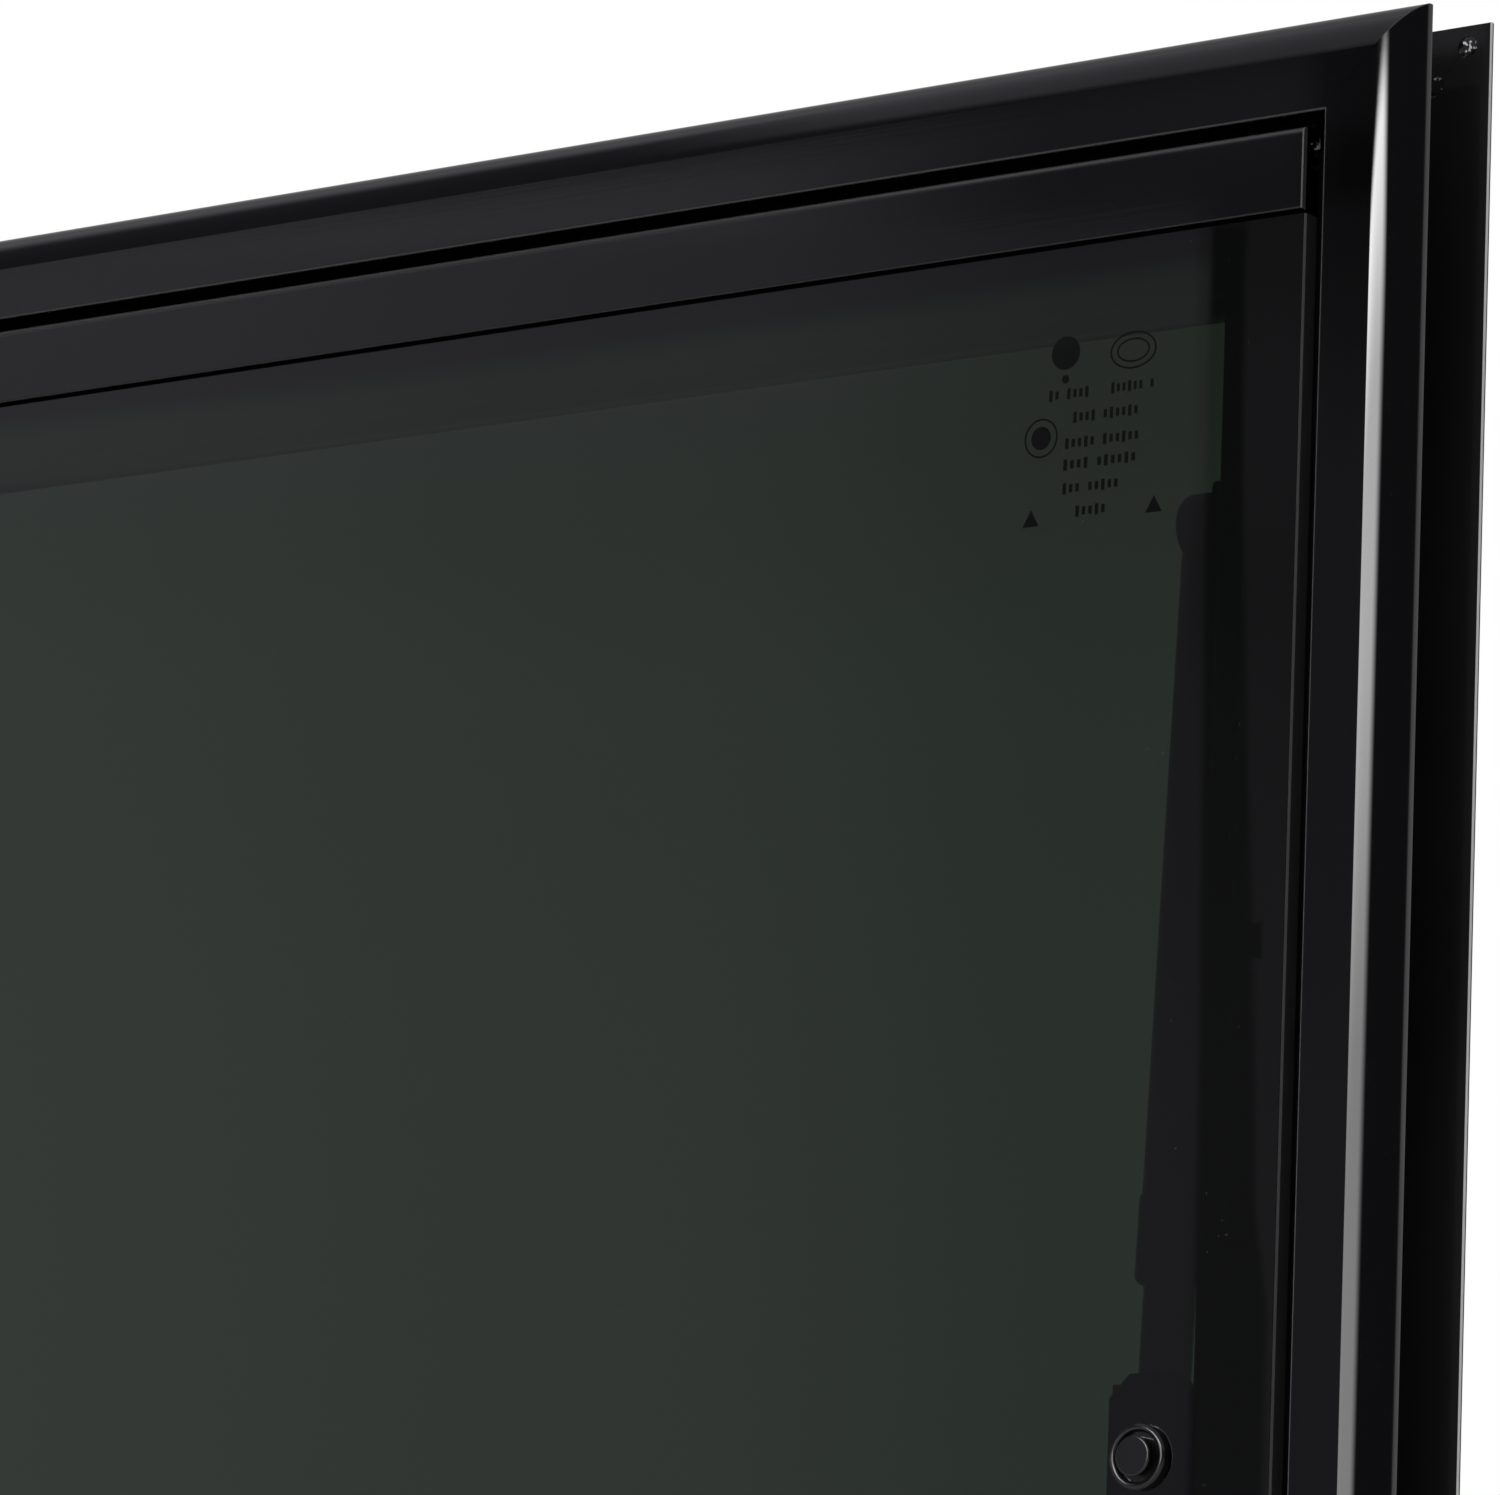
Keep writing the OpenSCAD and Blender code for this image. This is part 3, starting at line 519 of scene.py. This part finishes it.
class WINDOW_OT_frame(bpy.types.Operator):
    """Bull-nosed cover bars with their mitres, and the finish of the reveal behind them"""
    bl_idname = "window.frame"
    bl_label = "Frame"

    def execute(self, context):
        sizes, looks = context.scene.window_frame, context.scene.window_finish
        for side in SIDES:
            length = RIGHT - LEFT if side in LYING else TOP - BOTTOM
            bm = mitred_bar(self.profile(sizes), length, sizes.mitre_gap)
            paint = gloss_paint("frame_coat_" + side, looks.paint, looks.paint_roughness, draw_of(side),
                                wave=0.003, painted_highlight=self.highlight_lines(side, sizes))
            piece("cover_" + side, onto_side(bm, side), paint, ["frame_" + side])
            finish_node(["reveal_" + side], paint)
        hinge_paint = gloss_paint("hinge_coat", looks.paint, 0.2, draw_of("top"), dull=self.patches)
        finish_node(["frame_hinge"], hinge_paint)
        return {"FINISHED"}

    def profile(self, sizes):
        """Bull nose, flat and rounded lip, on a back with the seat that meets the wall."""
        nose_w, nose_r = sizes.nose_width, sizes.nose_radius
        face_w, lip = sizes.face_width, sizes.lip_radius
        swing = math.degrees(math.asin(nose_w / nose_r))
        outline = Outline(nose_w, FACE_Y).arc(nose_w, FACE_Y + nose_r, swing, 28)
        outline.line(0.0, 0.0).line(sizes.seat_width, 0.0)
        outline.line(sizes.seat_width, -sizes.seat_step).line(face_w, -sizes.seat_step)
        outline.line(face_w, FACE_Y + lip).arc(face_w - lip, FACE_Y + lip, 90.0, 8)
        outline.line(face_w - lip - GUARD, FACE_Y).line(nose_w + GUARD, FACE_Y)
        return outline.close()

    def highlight_lines(self, side, sizes):
        """Painted highlights on one bar: a light line on its lip, and one beside the mitre across its nose.
        """
        face_w, nose_w, lip = sizes.face_width, sizes.nose_width, sizes.lip_radius
        low, high = (LEFT, 0.0, BOTTOM), (RIGHT, 0.0, TOP)
        next_side = "right" if side in LYING else "top"
        lip_share = 0.3 if side in LYING else 1.0

        def mask(at):
            u = inwards(at, side, low, high)
            from_mitre = abs(u - inwards(at, next_side, low, high))
            mitre = from_mitre.step(0.22 * MM, 0.12 * MM) * u.step(nose_w, nose_w * 0.6) * 0.8
            rounding = at.axis("Y").step(FACE_Y + lip * 1.2, FACE_Y + lip)
            edge = u.step(face_w - lip * 0.85, face_w - lip * 0.7) * rounding
            return (edge * lip_share).larger(mitre)

        return mask

    def patches(self, at):
        """Patches of the hinge bead where its coat is dull."""
        return at.noise(1100.0, 1.0).step(0.46, 0.5)


class WINDOW_OT_rail(bpy.types.Operator):
    """Hinge rail over the top edge of the pane"""
    bl_idname = "window.rail"
    bl_label = "Hinge rail"

    def execute(self, context):
        looks = context.scene.window_finish
        paint = gloss_paint("rail_coat", looks.paint, looks.paint_roughness, draw_of("top"),
                            wave=0.004, painted_highlight=self.highlight_lines, highlight_grey=0.08)
        finish_node(["hinge_rail"], paint)
        return {"FINISHED"}

    def highlight_lines(self, at):
        """Painted highlights on the front leg: light lines along its top edge and at both ends."""
        front = at.axis("Y").step(GLASS_LOW[1] + 0.1 * MM, GLASS_LOW[1] - 0.1 * MM)
        top = inwards(at, "top", RAIL_LOW, RAIL_HIGH).step(1.6 * MM, 0.4 * MM) * 0.5
        left, right = (inwards(at, hand, RAIL_LOW, RAIL_HIGH).step(0.42 * MM, 0.36 * MM) for hand in HANDS)
        return top.larger(left + right) * front


# Depth of the ring's painted edge highlight behind the ring's front
HIGHLIGHT_DEPTH = 4.75 * MM


class WINDOW_OT_ring(bpy.types.Operator):
    """Clamp ring inside the wall, with its pins and screws"""
    bl_idname = "window.ring"
    bl_label = "Clamp ring"

    def execute(self, context):
        looks = context.scene.window_finish
        for side in SIDES:
            paint = gloss_paint("ring_coat_" + side, looks.ring, looks.paint_roughness, draw_of(side),
                                painted_highlight=self.highlight_lines(side), dull=self.band(side), highlight_grey=0.85)
            finish_node(["clamp_" + side], paint)
        finish_node(["clamp_screws"], gloss_paint("screw_coat", looks.paint, 0.3, EVEN))
        finish_node(["clamp_corner_pins"], glinting_pins("pin_coat", looks.ring))
        return {"FINISHED"}

    def from_edge(self, at, side):
        """Distance inwards from the ring's outer edge."""
        return inwards(at, side, (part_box("clamp_left")[0][0], 0.0, RING_LOW[2]), RING_HIGH)

    def highlight_lines(self, side):
        """Painted highlight: a near-white line along the outer edge, on its front."""
        depth = RING_LOW[1] + HIGHLIGHT_DEPTH

        def mask(at):
            front = at.axis("Y").step(depth + 0.1 * MM, depth)
            return self.from_edge(at, side).step(0.14 * MM, 0.11 * MM) * front

        return mask

    def band(self, side):
        """The band beside the outer edge, without gloss."""
        return lambda at: self.from_edge(at, side).step(2.0 * MM, 1.6 * MM)


# The generic marks on the pane, in mm: u is counted from the window's right edge and depth from its top.
# Round marks are u, depth, radius, segments, stretch along X and whether only the outline is printed.
ROUND_MARKS = (
    (78.6, 59.4, 3.3, 48, 1.0, False),
    (78.5, 64.6, 0.85, 24, 1.0, False),
    (62.8, 60.6, 3.7, 64, 1.45, True),
    (62.8, 60.6, 2.4, 64, 1.6, True),
    (83.8, 75.7, 3.9, 48, 1.0, True),
    (83.8, 75.7, 2.3, 24, 1.0, False),
)
TRIANGLES = ((85.6, 91.9, 2.2, 3), (57.0, 91.9, 2.2, 3))

# Rows of dashes are the first u, the last u, depth and how many dashes fit.
DASH_ROWS = (
    (82.5, 72.7, 67.6, 7),
    (68.0, 57.6, 67.6, 8),
    (76.7, 61.1, 72.4, 11),
    (78.4, 59.3, 77.4, 13),
    (78.7, 61.3, 81.6, 11),
    (78.7, 65.2, 86.3, 9),
    (75.5, 66.5, 91.0, 6),
)
DASH_SHARE = 0.52
SHORT_DASH, TALL_DASH = 1.6, 2.2


class WINDOW_OT_glass(bpy.types.Operator):
    """Tinted pane and the plain marks printed on it"""
    bl_idname = "window.glass"
    bl_label = "Glass"

    def execute(self, context):
        looks = context.scene.window_finish
        finish_node(["glass_pane"], tinted_glass("tinted_glass", looks.glass))
        self.marks(context.scene.window_marks, enamel_print("glass_print", looks.print_colour))
        return {"FINISHED"}

    def on_pane(self, u, depth):
        """Place on the outside of the pane."""
        return Matrix.Translation((RIGHT - u * MM, GLASS_LOW[1], TOP - depth * MM))

    def round_mark(self, bm, stroke, u, depth, radius, segments, stretch=1.0, outline=False):
        """A filled or outlined shape with a regular rim."""
        matrix = (self.on_pane(u, depth) @ Matrix.Scale(stretch, 4, (1.0, 0.0, 0.0))
                  @ Matrix.Rotation(math.pi / 2, 4, "X"))
        made = bmesh.ops.create_circle(bm, cap_ends=True, segments=segments, radius=radius * MM,
                                       matrix=matrix)
        face = made["verts"][0].link_faces[0]
        if outline:
            bmesh.ops.inset_region(bm, faces=[face], thickness=stroke, use_even_offset=True,
                                   use_boundary=True)
            bmesh.ops.delete(bm, geom=[face], context="FACES")

    def dash_row(self, bm, first, last, depth, count):
        """Upright dashes of two heights, with a blank now and then."""
        pitch = (first - last) / count
        for i in range(count):
            if (i * 5 + count) % 7 == 3:
                continue
            size = (pitch * DASH_SHARE * MM, 1.0, (SHORT_DASH if i % 3 else TALL_DASH) * MM, 1.0)
            matrix = (self.on_pane(first - (i + 0.5) * pitch, depth) @ Matrix.Diagonal(size)
                      @ Matrix.Rotation(math.pi / 2, 4, "X"))
            bmesh.ops.create_grid(bm, x_segments=1, y_segments=1, size=0.5, matrix=matrix)

    def marks(self, sizes, mat):
        """A generic block without letters: disc and dot, outlines, rows of dashes and two triangles."""
        bm = bmesh.new()
        for mark in ROUND_MARKS:
            self.round_mark(bm, sizes.stroke, *mark)
        for row in DASH_ROWS:
            self.dash_row(bm, *row)
        for triangle in TRIANGLES:
            self.round_mark(bm, sizes.stroke, *triangle)
        bmesh.ops.recalc_face_normals(bm, faces=bm.faces)
        for face in bm.faces:
            if face.normal.y > 0.0:
                face.normal_flip()
        made = bmesh.ops.extrude_face_region(bm, geom=bm.faces[:])
        bmesh.ops.translate(bm, verts=new_points(made["geom"]), vec=(0.0, -sizes.thickness, 0.0))
        piece("glass_marks", bm, mat)


class WINDOW_OT_seals(bpy.types.Operator):
    """Rubber seals under the pane"""
    bl_idname = "window.seals"
    bl_label = "Seals"

    def execute(self, context):
        looks = context.scene.window_finish
        finish_node(["seal_" + side for side in SIDES], rubber("seal_rubber", looks.rubber))
        return {"FINISHED"}


class WINDOW_OT_stays(bpy.types.Operator):
    """Telescopic stays, their brackets and the bolts through the pane"""
    bl_idname = "window.stays"
    bl_label = "Stays"

    def execute(self, context):
        looks = context.scene.window_finish
        plastic = moulded("stay_plastic", looks.plastic, 0.32)
        steel = gloss_paint("stay_coat", looks.plastic, 0.22, (1.0, 1.0, 0.02))
        cap = gloss_paint("cap_coat", looks.plastic, 0.1, EVEN, wave=0.05)
        for hand in HANDS:
            finish_node(["stay_tube_" + hand, "stay_collar_" + hand], plastic)
            finish_node(["stay_bracket_" + hand, "stay_rod_" + hand, "glass_bracket_" + hand], steel)
            self.bolt(context.scene.window_bolt, hand, cap)
        finish_node(["bolt_nuts"], plated("nut_zinc", looks.zinc))
        return {"FINISHED"}

    def bolt(self, sizes, hand, mat):
        """Washer with a raised rim, and a flat button in its middle, on a stem through the pane."""
        low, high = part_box("stay_bolt_" + hand)
        outer, button, rim = (high[0] - low[0]) / 2, sizes.button / 2, sizes.rim / 2
        edge = sizes.button_edge
        stem, stem_end = sizes.stem / 2, high[1] - GLASS_LOW[1]
        top = GLASS_LOW[1] - low[1]
        crest = -rim - sizes.rim_foot
        outline = Outline(0.0, -top).line(button - edge - GUARD, -top).line(button - edge, -top)
        outline.arc(button - edge, edge - top, -90.0, 8).line(button, edge - top + GUARD)
        outline.line(button, -sizes.floor).line(outer - 2 * rim, -sizes.floor)
        outline.line(outer - 2 * rim, crest)
        outline.arc(outer - rim, crest, -180.0, 16).line(outer, 0.0)
        outline.line(stem, 0.0).line(stem, stem_end).line(0.0, stem_end)
        middle = Vector(((low[0] + high[0]) / 2, GLASS_LOW[1], (low[2] + high[2]) / 2))
        piece("bolt_cap_" + hand, outline.turned(middle), mat, ["stay_bolt_" + hand])


class WINDOW_OT_latches(bpy.types.Operator):
    """Latches on the sill"""
    bl_idname = "window.latches"
    bl_label = "Latches"

    def execute(self, context):
        plastic = moulded("latch_plastic", context.scene.window_finish.plastic, 0.35)
        parts = ("latch_body_", "latch_lever_", "latch_keeper_", "latch_bolt_")
        finish_node([part + hand for part in parts for hand in HANDS], plastic)
        return {"FINISHED"}


# Studio

SOFTBOX_CENTRE = (0.2, -1.4, 0.7)
SOFTBOX_HALF = 0.7
FLOOR_HALF = 6.0
FLOOR_GAP = 0.2 * MM

CAMERA_PLACE = (1.23599, -1.21653, 0.0641)
CAMERA_RIGHT = Vector((0.79505, 0.6052, 0.04028))
CAMERA_UP = Vector((0.08475, -0.17659, 0.98063))
CAMERA_BACK = Vector((0.60059, -0.77624, -0.19169))
CAMERA_LENS = 191.08

WHITE = (1.0, 1.0, 1.0, 1.0)
COOL = (1.0, 0.98, 1.1, 1.0)
GREENISH = (0.93, 1.06, 1.02, 1.0)


class Softbox:
    """Lit area of the softbox and the steps of its brightness, in metres. Each pair is a soft edge, from none
    to full. Its right edge moves in over some height."""
    left = (-0.44, -0.38)
    right = (0.8, 0.38)
    lean = (0.8, 0.9)
    lean_by = 0.16
    bottom = (0.2, 0.32)
    top = (0.907, 0.865)
    middle_part = (0.5, 0.7)
    top_part = (0.76, 0.88)
    glow = 0.236
    middle_glow = 0.23
    top_glow = 0.54


class Turn:
    """Soft edges of what the window reflects, in degrees about Z from straight ahead towards +X. Each pair
    runs from where a thing isn't seen to where it is."""
    flat = (-20.0, -33.0)
    pane = (-33.68, -33.8)
    card_lower = (-35.2, -38.4)
    card_upper = (-35.5, -38.3)
    card_far = (-38.0, -43.5)
    card_end = (-100.0, -80.0)
    card_rim = (-34.3, -34.5)
    card_dip = (-39.0, -37.0)
    strip = (-34.15, -34.3)
    pole = ((-34.5, -34.42), (-34.16, -34.24))
    left_spread = 0.1
    right_spread = 0.27
    foot_spread = 0.1
    knob = ((-34.2, -34.1), (-33.93, -33.96))
    shade = (-34.6, -34.5)


class Rise:
    """The same in degrees above level."""
    flat_upper = (14.9, 12.9)
    flat_lower = (11.0, 7.0)
    flat_late = (12.5, 8.5)
    pane = (11.8, 14.6)
    card_rim = (13.2, 14.4)
    pole_spread = (14.4, 7.2)
    pole_foot = (8.0, 7.0)
    pole_top = (15.0, 14.85)
    knob = ((9.64, 9.68), (9.94, 9.9))
    shade_lower = (11.3, 12.6)
    shade_upper = (13.9, 14.6)
    shade_top = (15.25, 15.05)
    panel = (16.8, 20.0)
    rear = (25.0, 40.0)
    backdrop = (8.0, 34.0)
    haze = (11.2, 14.2)


class Axis:
    """The same by one part of the direction, from -1 to 1: X for the light panel over the left, whose edge
    also slopes with the rise, and Y for what lies behind the window."""
    panel = (-0.61, -0.575)
    panel_slope = 150.0
    panel_edge = (-66.0, -52.0)
    rear = (-0.25, 0.1)
    behind = (0.1, 0.35)


class Slant:
    """The same in degrees above lines that rise by a tilt for each degree of turn: one tilt for the card's
    top and the strip below it, one for the card's step."""
    top_tilt = 0.18
    top = (22.35, 21.95)
    strip = ((20.4, 20.47), (20.97, 20.75))
    step_tilt = 0.088
    step = (18.14, 18.0)
    dip = (18.7, 18.4)


class Glow:
    """Brightness of what the window reflects, where the white backdrop is 1, and shares of light that are
    lost."""
    room = 0.09
    flat_upper = 0.09
    flat_lower = 0.02
    flat_less = 0.032
    flat_late = 0.03
    pane = 0.03
    pane_upper = 0.03
    pane_card = 0.07
    card_lower = 0.13
    card_upper = 0.32
    card_far = 0.1
    card_rim = 0.02
    card_rim_upper = 0.04
    card_dip = 0.05
    strip = 0.1
    strip_tint = 0.95
    ceiling = 0.33
    shade_lower = 0.2
    shade_upper = 0.06
    backdrop_loss = 0.7
    haze_loss = 0.4


def stage_object(name, bm, mat):
    """Makes a mesh an object of the studio."""
    mesh = bpy.data.meshes.new(name)
    bm.to_mesh(mesh)
    bm.free()
    mesh.materials.append(mat)
    obj = bpy.data.objects.new(name, mesh)
    bpy.context.scene.collection.objects.link(obj)
    return obj


class WINDOW_OT_studio(bpy.types.Operator):
    """Floor, studio light, backdrop and camera"""
    bl_idname = "window.studio"
    bl_label = "Studio"

    def execute(self, context):
        studio = context.scene.window_studio
        self.floor(studio)
        self.softbox(studio)
        self.backdrop(context.scene, studio)
        self.camera(context.scene)
        context.scene.view_settings.view_transform = "Standard"
        return {"FINISHED"}

    def floor(self, studio):
        mat, start, out = new_material("studio_floor")
        tone = place(start).noise(3.0, 3.0).mix(opaque(studio.floor, 0.97), opaque(studio.floor))
        finish_material(mat, start, out, shade(start, Base_Color=tone, Roughness=0.7))
        bm = bmesh.new()
        below = Matrix.Translation((0.0, 0.0, BOX_AT_START[0][2] - FLOOR_GAP))
        bmesh.ops.create_grid(bm, x_segments=1, y_segments=1, size=FLOOR_HALF, matrix=below)
        stage_object("studio_floor", bm, mat)

    def softbox(self, studio):
        """A tall card in front, brightest at the height of the window's top and softer below. It only lights
        and reflects."""
        mat, start, out = new_material("studio_softbox")
        at = place(start)
        x, z = at.axis("X"), at.axis("Z")
        leaning = x + z.step(*Softbox.lean) * Softbox.lean_by
        area = (x.step(*Softbox.left) * leaning.step(*Softbox.right)
                * z.between(Softbox.bottom, Softbox.top))
        middle, top = z.step(*Softbox.middle_part), z.step(*Softbox.top_part)
        glow = middle * Softbox.middle_glow + top * Softbox.top_glow + Softbox.glow
        light = start.node("ShaderNodeEmission", None, {"Color": WHITE, "Strength": glow * studio.key})
        clear = start.node("ShaderNodeBsdfTransparent")
        finish_material(mat, start, out, area.blend(clear, light))
        bm = bmesh.new()
        upright = Matrix.Translation(SOFTBOX_CENTRE) @ Matrix.Rotation(math.pi / 2, 4, "X")
        bmesh.ops.create_grid(bm, x_segments=1, y_segments=1, size=SOFTBOX_HALF, matrix=upright)
        card = stage_object("studio_softbox", bm, mat)
        card.visible_camera = False
        card.visible_transmission = False
        card.visible_volume_scatter = False
        card.visible_shadow = False

    def walls(self, turn, rise, under):
        """Dim walls: the stretch that the frame's right flat reflects, and the one that the pane reflects."""
        upper, lower = rise.step(*Rise.flat_upper), rise.step(*Rise.flat_lower)
        flat = upper * Glow.flat_upper + lower * Glow.flat_lower - Glow.flat_less
        pane = rise.step(*Rise.pane) * (under * Glow.pane_card + Glow.pane_upper) + Glow.pane
        return turn.step(*Turn.flat) * flat + turn.step(*Turn.pane) * pane

    def card(self, turn, rise):
        """Large pale card beside the camera: bright above its step and dimmer below it; and the dip in its
        light along the step."""
        height = rise - turn * Slant.step_tilt
        below = height.step(*Slant.step)
        above = 1.0 - below
        far = turn.step(*Turn.card_far) * Glow.card_far
        rim = turn.step(*Turn.card_rim) * (rise.step(*Rise.card_rim) * Glow.card_rim_upper + Glow.card_rim)
        lower = turn.step(*Turn.card_lower) * Glow.card_lower + far + rim
        upper = turn.step(*Turn.card_upper) * Glow.card_upper + far
        dip = above * height.step(*Slant.dip) * turn.step(*Turn.card_dip) * Glow.card_dip
        return (below * lower + above * upper) * turn.step(*Turn.card_end), dip

    def stand(self, turn, rise):
        """1 on the dark light stand: a pole that widens downwards, and the knob on its side."""
        spread, foot = rise.step(*Rise.pole_spread), rise.step(*Rise.pole_foot)
        left = (turn - spread * Turn.left_spread).step(*Turn.pole[0])
        right = (turn - spread * Turn.right_spread - foot * Turn.foot_spread).step(*Turn.pole[1])
        knob = turn.between(*Turn.knob) * rise.between(*Rise.knob)
        return (left * right * rise.step(*Rise.pole_top)).larger(knob)

    def ceiling(self, x, y, rise):
        """Light panel over the left, and the brighter ceiling above the window and behind it."""
        edge = (rise + x * Axis.panel_slope).step(*Axis.panel_edge)
        panel = x.step(*Axis.panel) * edge * rise.step(*Rise.panel)
        rear = y.step(*Axis.rear) * rise.step(*Rise.rear)
        return panel.larger(rear) * Glow.ceiling

    def dimming(self, turn, rise):
        """Share of the light that is lost beside the head of the stay."""
        lower, upper = rise.step(*Rise.shade_lower), rise.step(*Rise.shade_upper)
        amount = lower * Glow.shade_lower + upper * Glow.shade_upper
        return turn.between(Turn.shade, Turn.pane) * rise.step(*Rise.shade_top) * amount

    def backdrop(self, scene, studio):
        """White to the camera and through the glass; reflections show the white backdrop behind the window
        and the dim studio in front of it, by direction."""
        world = bpy.data.worlds.new("studio_world")
        scene.world = world
        world.use_nodes = True
        tree = world.node_tree
        tree.nodes.clear()
        out = tree.nodes.new("ShaderNodeOutputWorld")
        start = Sock(tree, None)
        way = start.node("ShaderNodeTexCoord", None, None, "Generated")
        x, y, z = way.axis("X"), way.axis("Y"), way.axis("Z")
        turn = start.math("ARCTAN2", x, y * -1.0) * math.degrees(1.0)
        rise = start.math("ARCSINE", z) * math.degrees(1.0)

        slant = rise - turn * Slant.top_tilt
        under = slant.step(*Slant.top)
        card, dip = self.card(turn, rise)
        strip = slant.between(*Slant.strip) * turn.step(*Turn.strip)
        lit = self.walls(turn, rise, under) + card * under - dip + strip * Glow.strip
        lit = lit * (1.0 - self.stand(turn, rise)) + self.ceiling(x, y, rise) + Glow.room
        lit = lit + turn.step(*Turn.flat) * rise.step(*Rise.flat_late) * Glow.flat_late
        lit = lit * (1.0 - self.dimming(turn, rise))

        behind = y.step(*Axis.behind)
        in_front = 1.0 - behind
        glossy = behind * (1.0 - rise.step(*Rise.backdrop) * Glow.backdrop_loss) + in_front * lit
        rays = tree.nodes.new("ShaderNodeLightPath").outputs
        camera = Sock(tree, rays["Is Camera Ray"])
        through = Sock(tree, rays["Is Transmission Ray"])
        mirror = Sock(tree, rays["Is Glossy Ray"])
        seen = camera.larger(through * (1.0 - rise.step(*Rise.haze) * Glow.haze_loss))
        hidden = 1.0 - camera.larger(through)
        strength = seen + hidden * (mirror * glossy + (1.0 - mirror) * studio.fill)
        cast = (strip * Glow.strip_tint).mix(COOL, GREENISH)
        tone = (hidden * mirror * in_front).mix(WHITE, cast)
        light = start.node("ShaderNodeBackground", None, {"Color": tone, "Strength": strength})
        start.put(out.inputs["Surface"], light)

    def camera(self, scene):
        """From the front right, below the middle of the window, looking up at its top right corner."""
        data = bpy.data.cameras.new("studio_camera")
        camera = bpy.data.objects.new("studio_camera", data)
        scene.collection.objects.link(camera)
        matrix = Matrix((CAMERA_RIGHT, CAMERA_UP, CAMERA_BACK)).transposed().to_4x4()
        matrix.translation = CAMERA_PLACE
        camera.matrix_world = matrix
        data.sensor_width = 36.0
        data.lens = CAMERA_LENS
        data.clip_start = 0.02
        data.clip_end = 50.0
        scene.camera = camera


class WINDOW_PT_panel(bpy.types.Panel):
    """Lists the pieces of the window"""
    bl_idname = "WINDOW_PT_panel"
    bl_label = "Caravan window"
    bl_space_type = "VIEW_3D"
    bl_region_type = "UI"
    bl_category = "Window"

    def draw(self, context):
        for operator in OPERATORS:
            self.layout.operator(operator.bl_idname)
        for name in GROUPS:
            group = getattr(context.scene, name)
            box = self.layout.box()
            for key in group.__annotations__:
                box.prop(group, key)


OPERATORS = (WINDOW_OT_frame, WINDOW_OT_rail, WINDOW_OT_ring, WINDOW_OT_glass, WINDOW_OT_seals,
             WINDOW_OT_stays, WINDOW_OT_latches, WINDOW_OT_studio)
GROUPS = {"window_frame": FrameSettings, "window_finish": FinishSettings, "window_marks": MarkSettings,
          "window_bolt": BoltSettings, "window_studio": StudioSettings}
CLASSES = (*GROUPS.values(), *OPERATORS, WINDOW_PT_panel)


def register():
    for kind in CLASSES:
        bpy.utils.register_class(kind)
    for name, group in GROUPS.items():
        setattr(bpy.types.Scene, name, PointerProperty(type=group))


def unregister():
    for name in GROUPS:
        delattr(bpy.types.Scene, name)
    for kind in reversed(CLASSES):
        bpy.utils.unregister_class(kind)


def main():
    register()
    bpy.ops.window.frame()
    bpy.ops.window.rail()
    bpy.ops.window.ring()
    bpy.ops.window.glass()
    bpy.ops.window.seals()
    bpy.ops.window.stays()
    bpy.ops.window.latches()
    bpy.ops.window.studio()


if __name__ == "__main__":
    main()
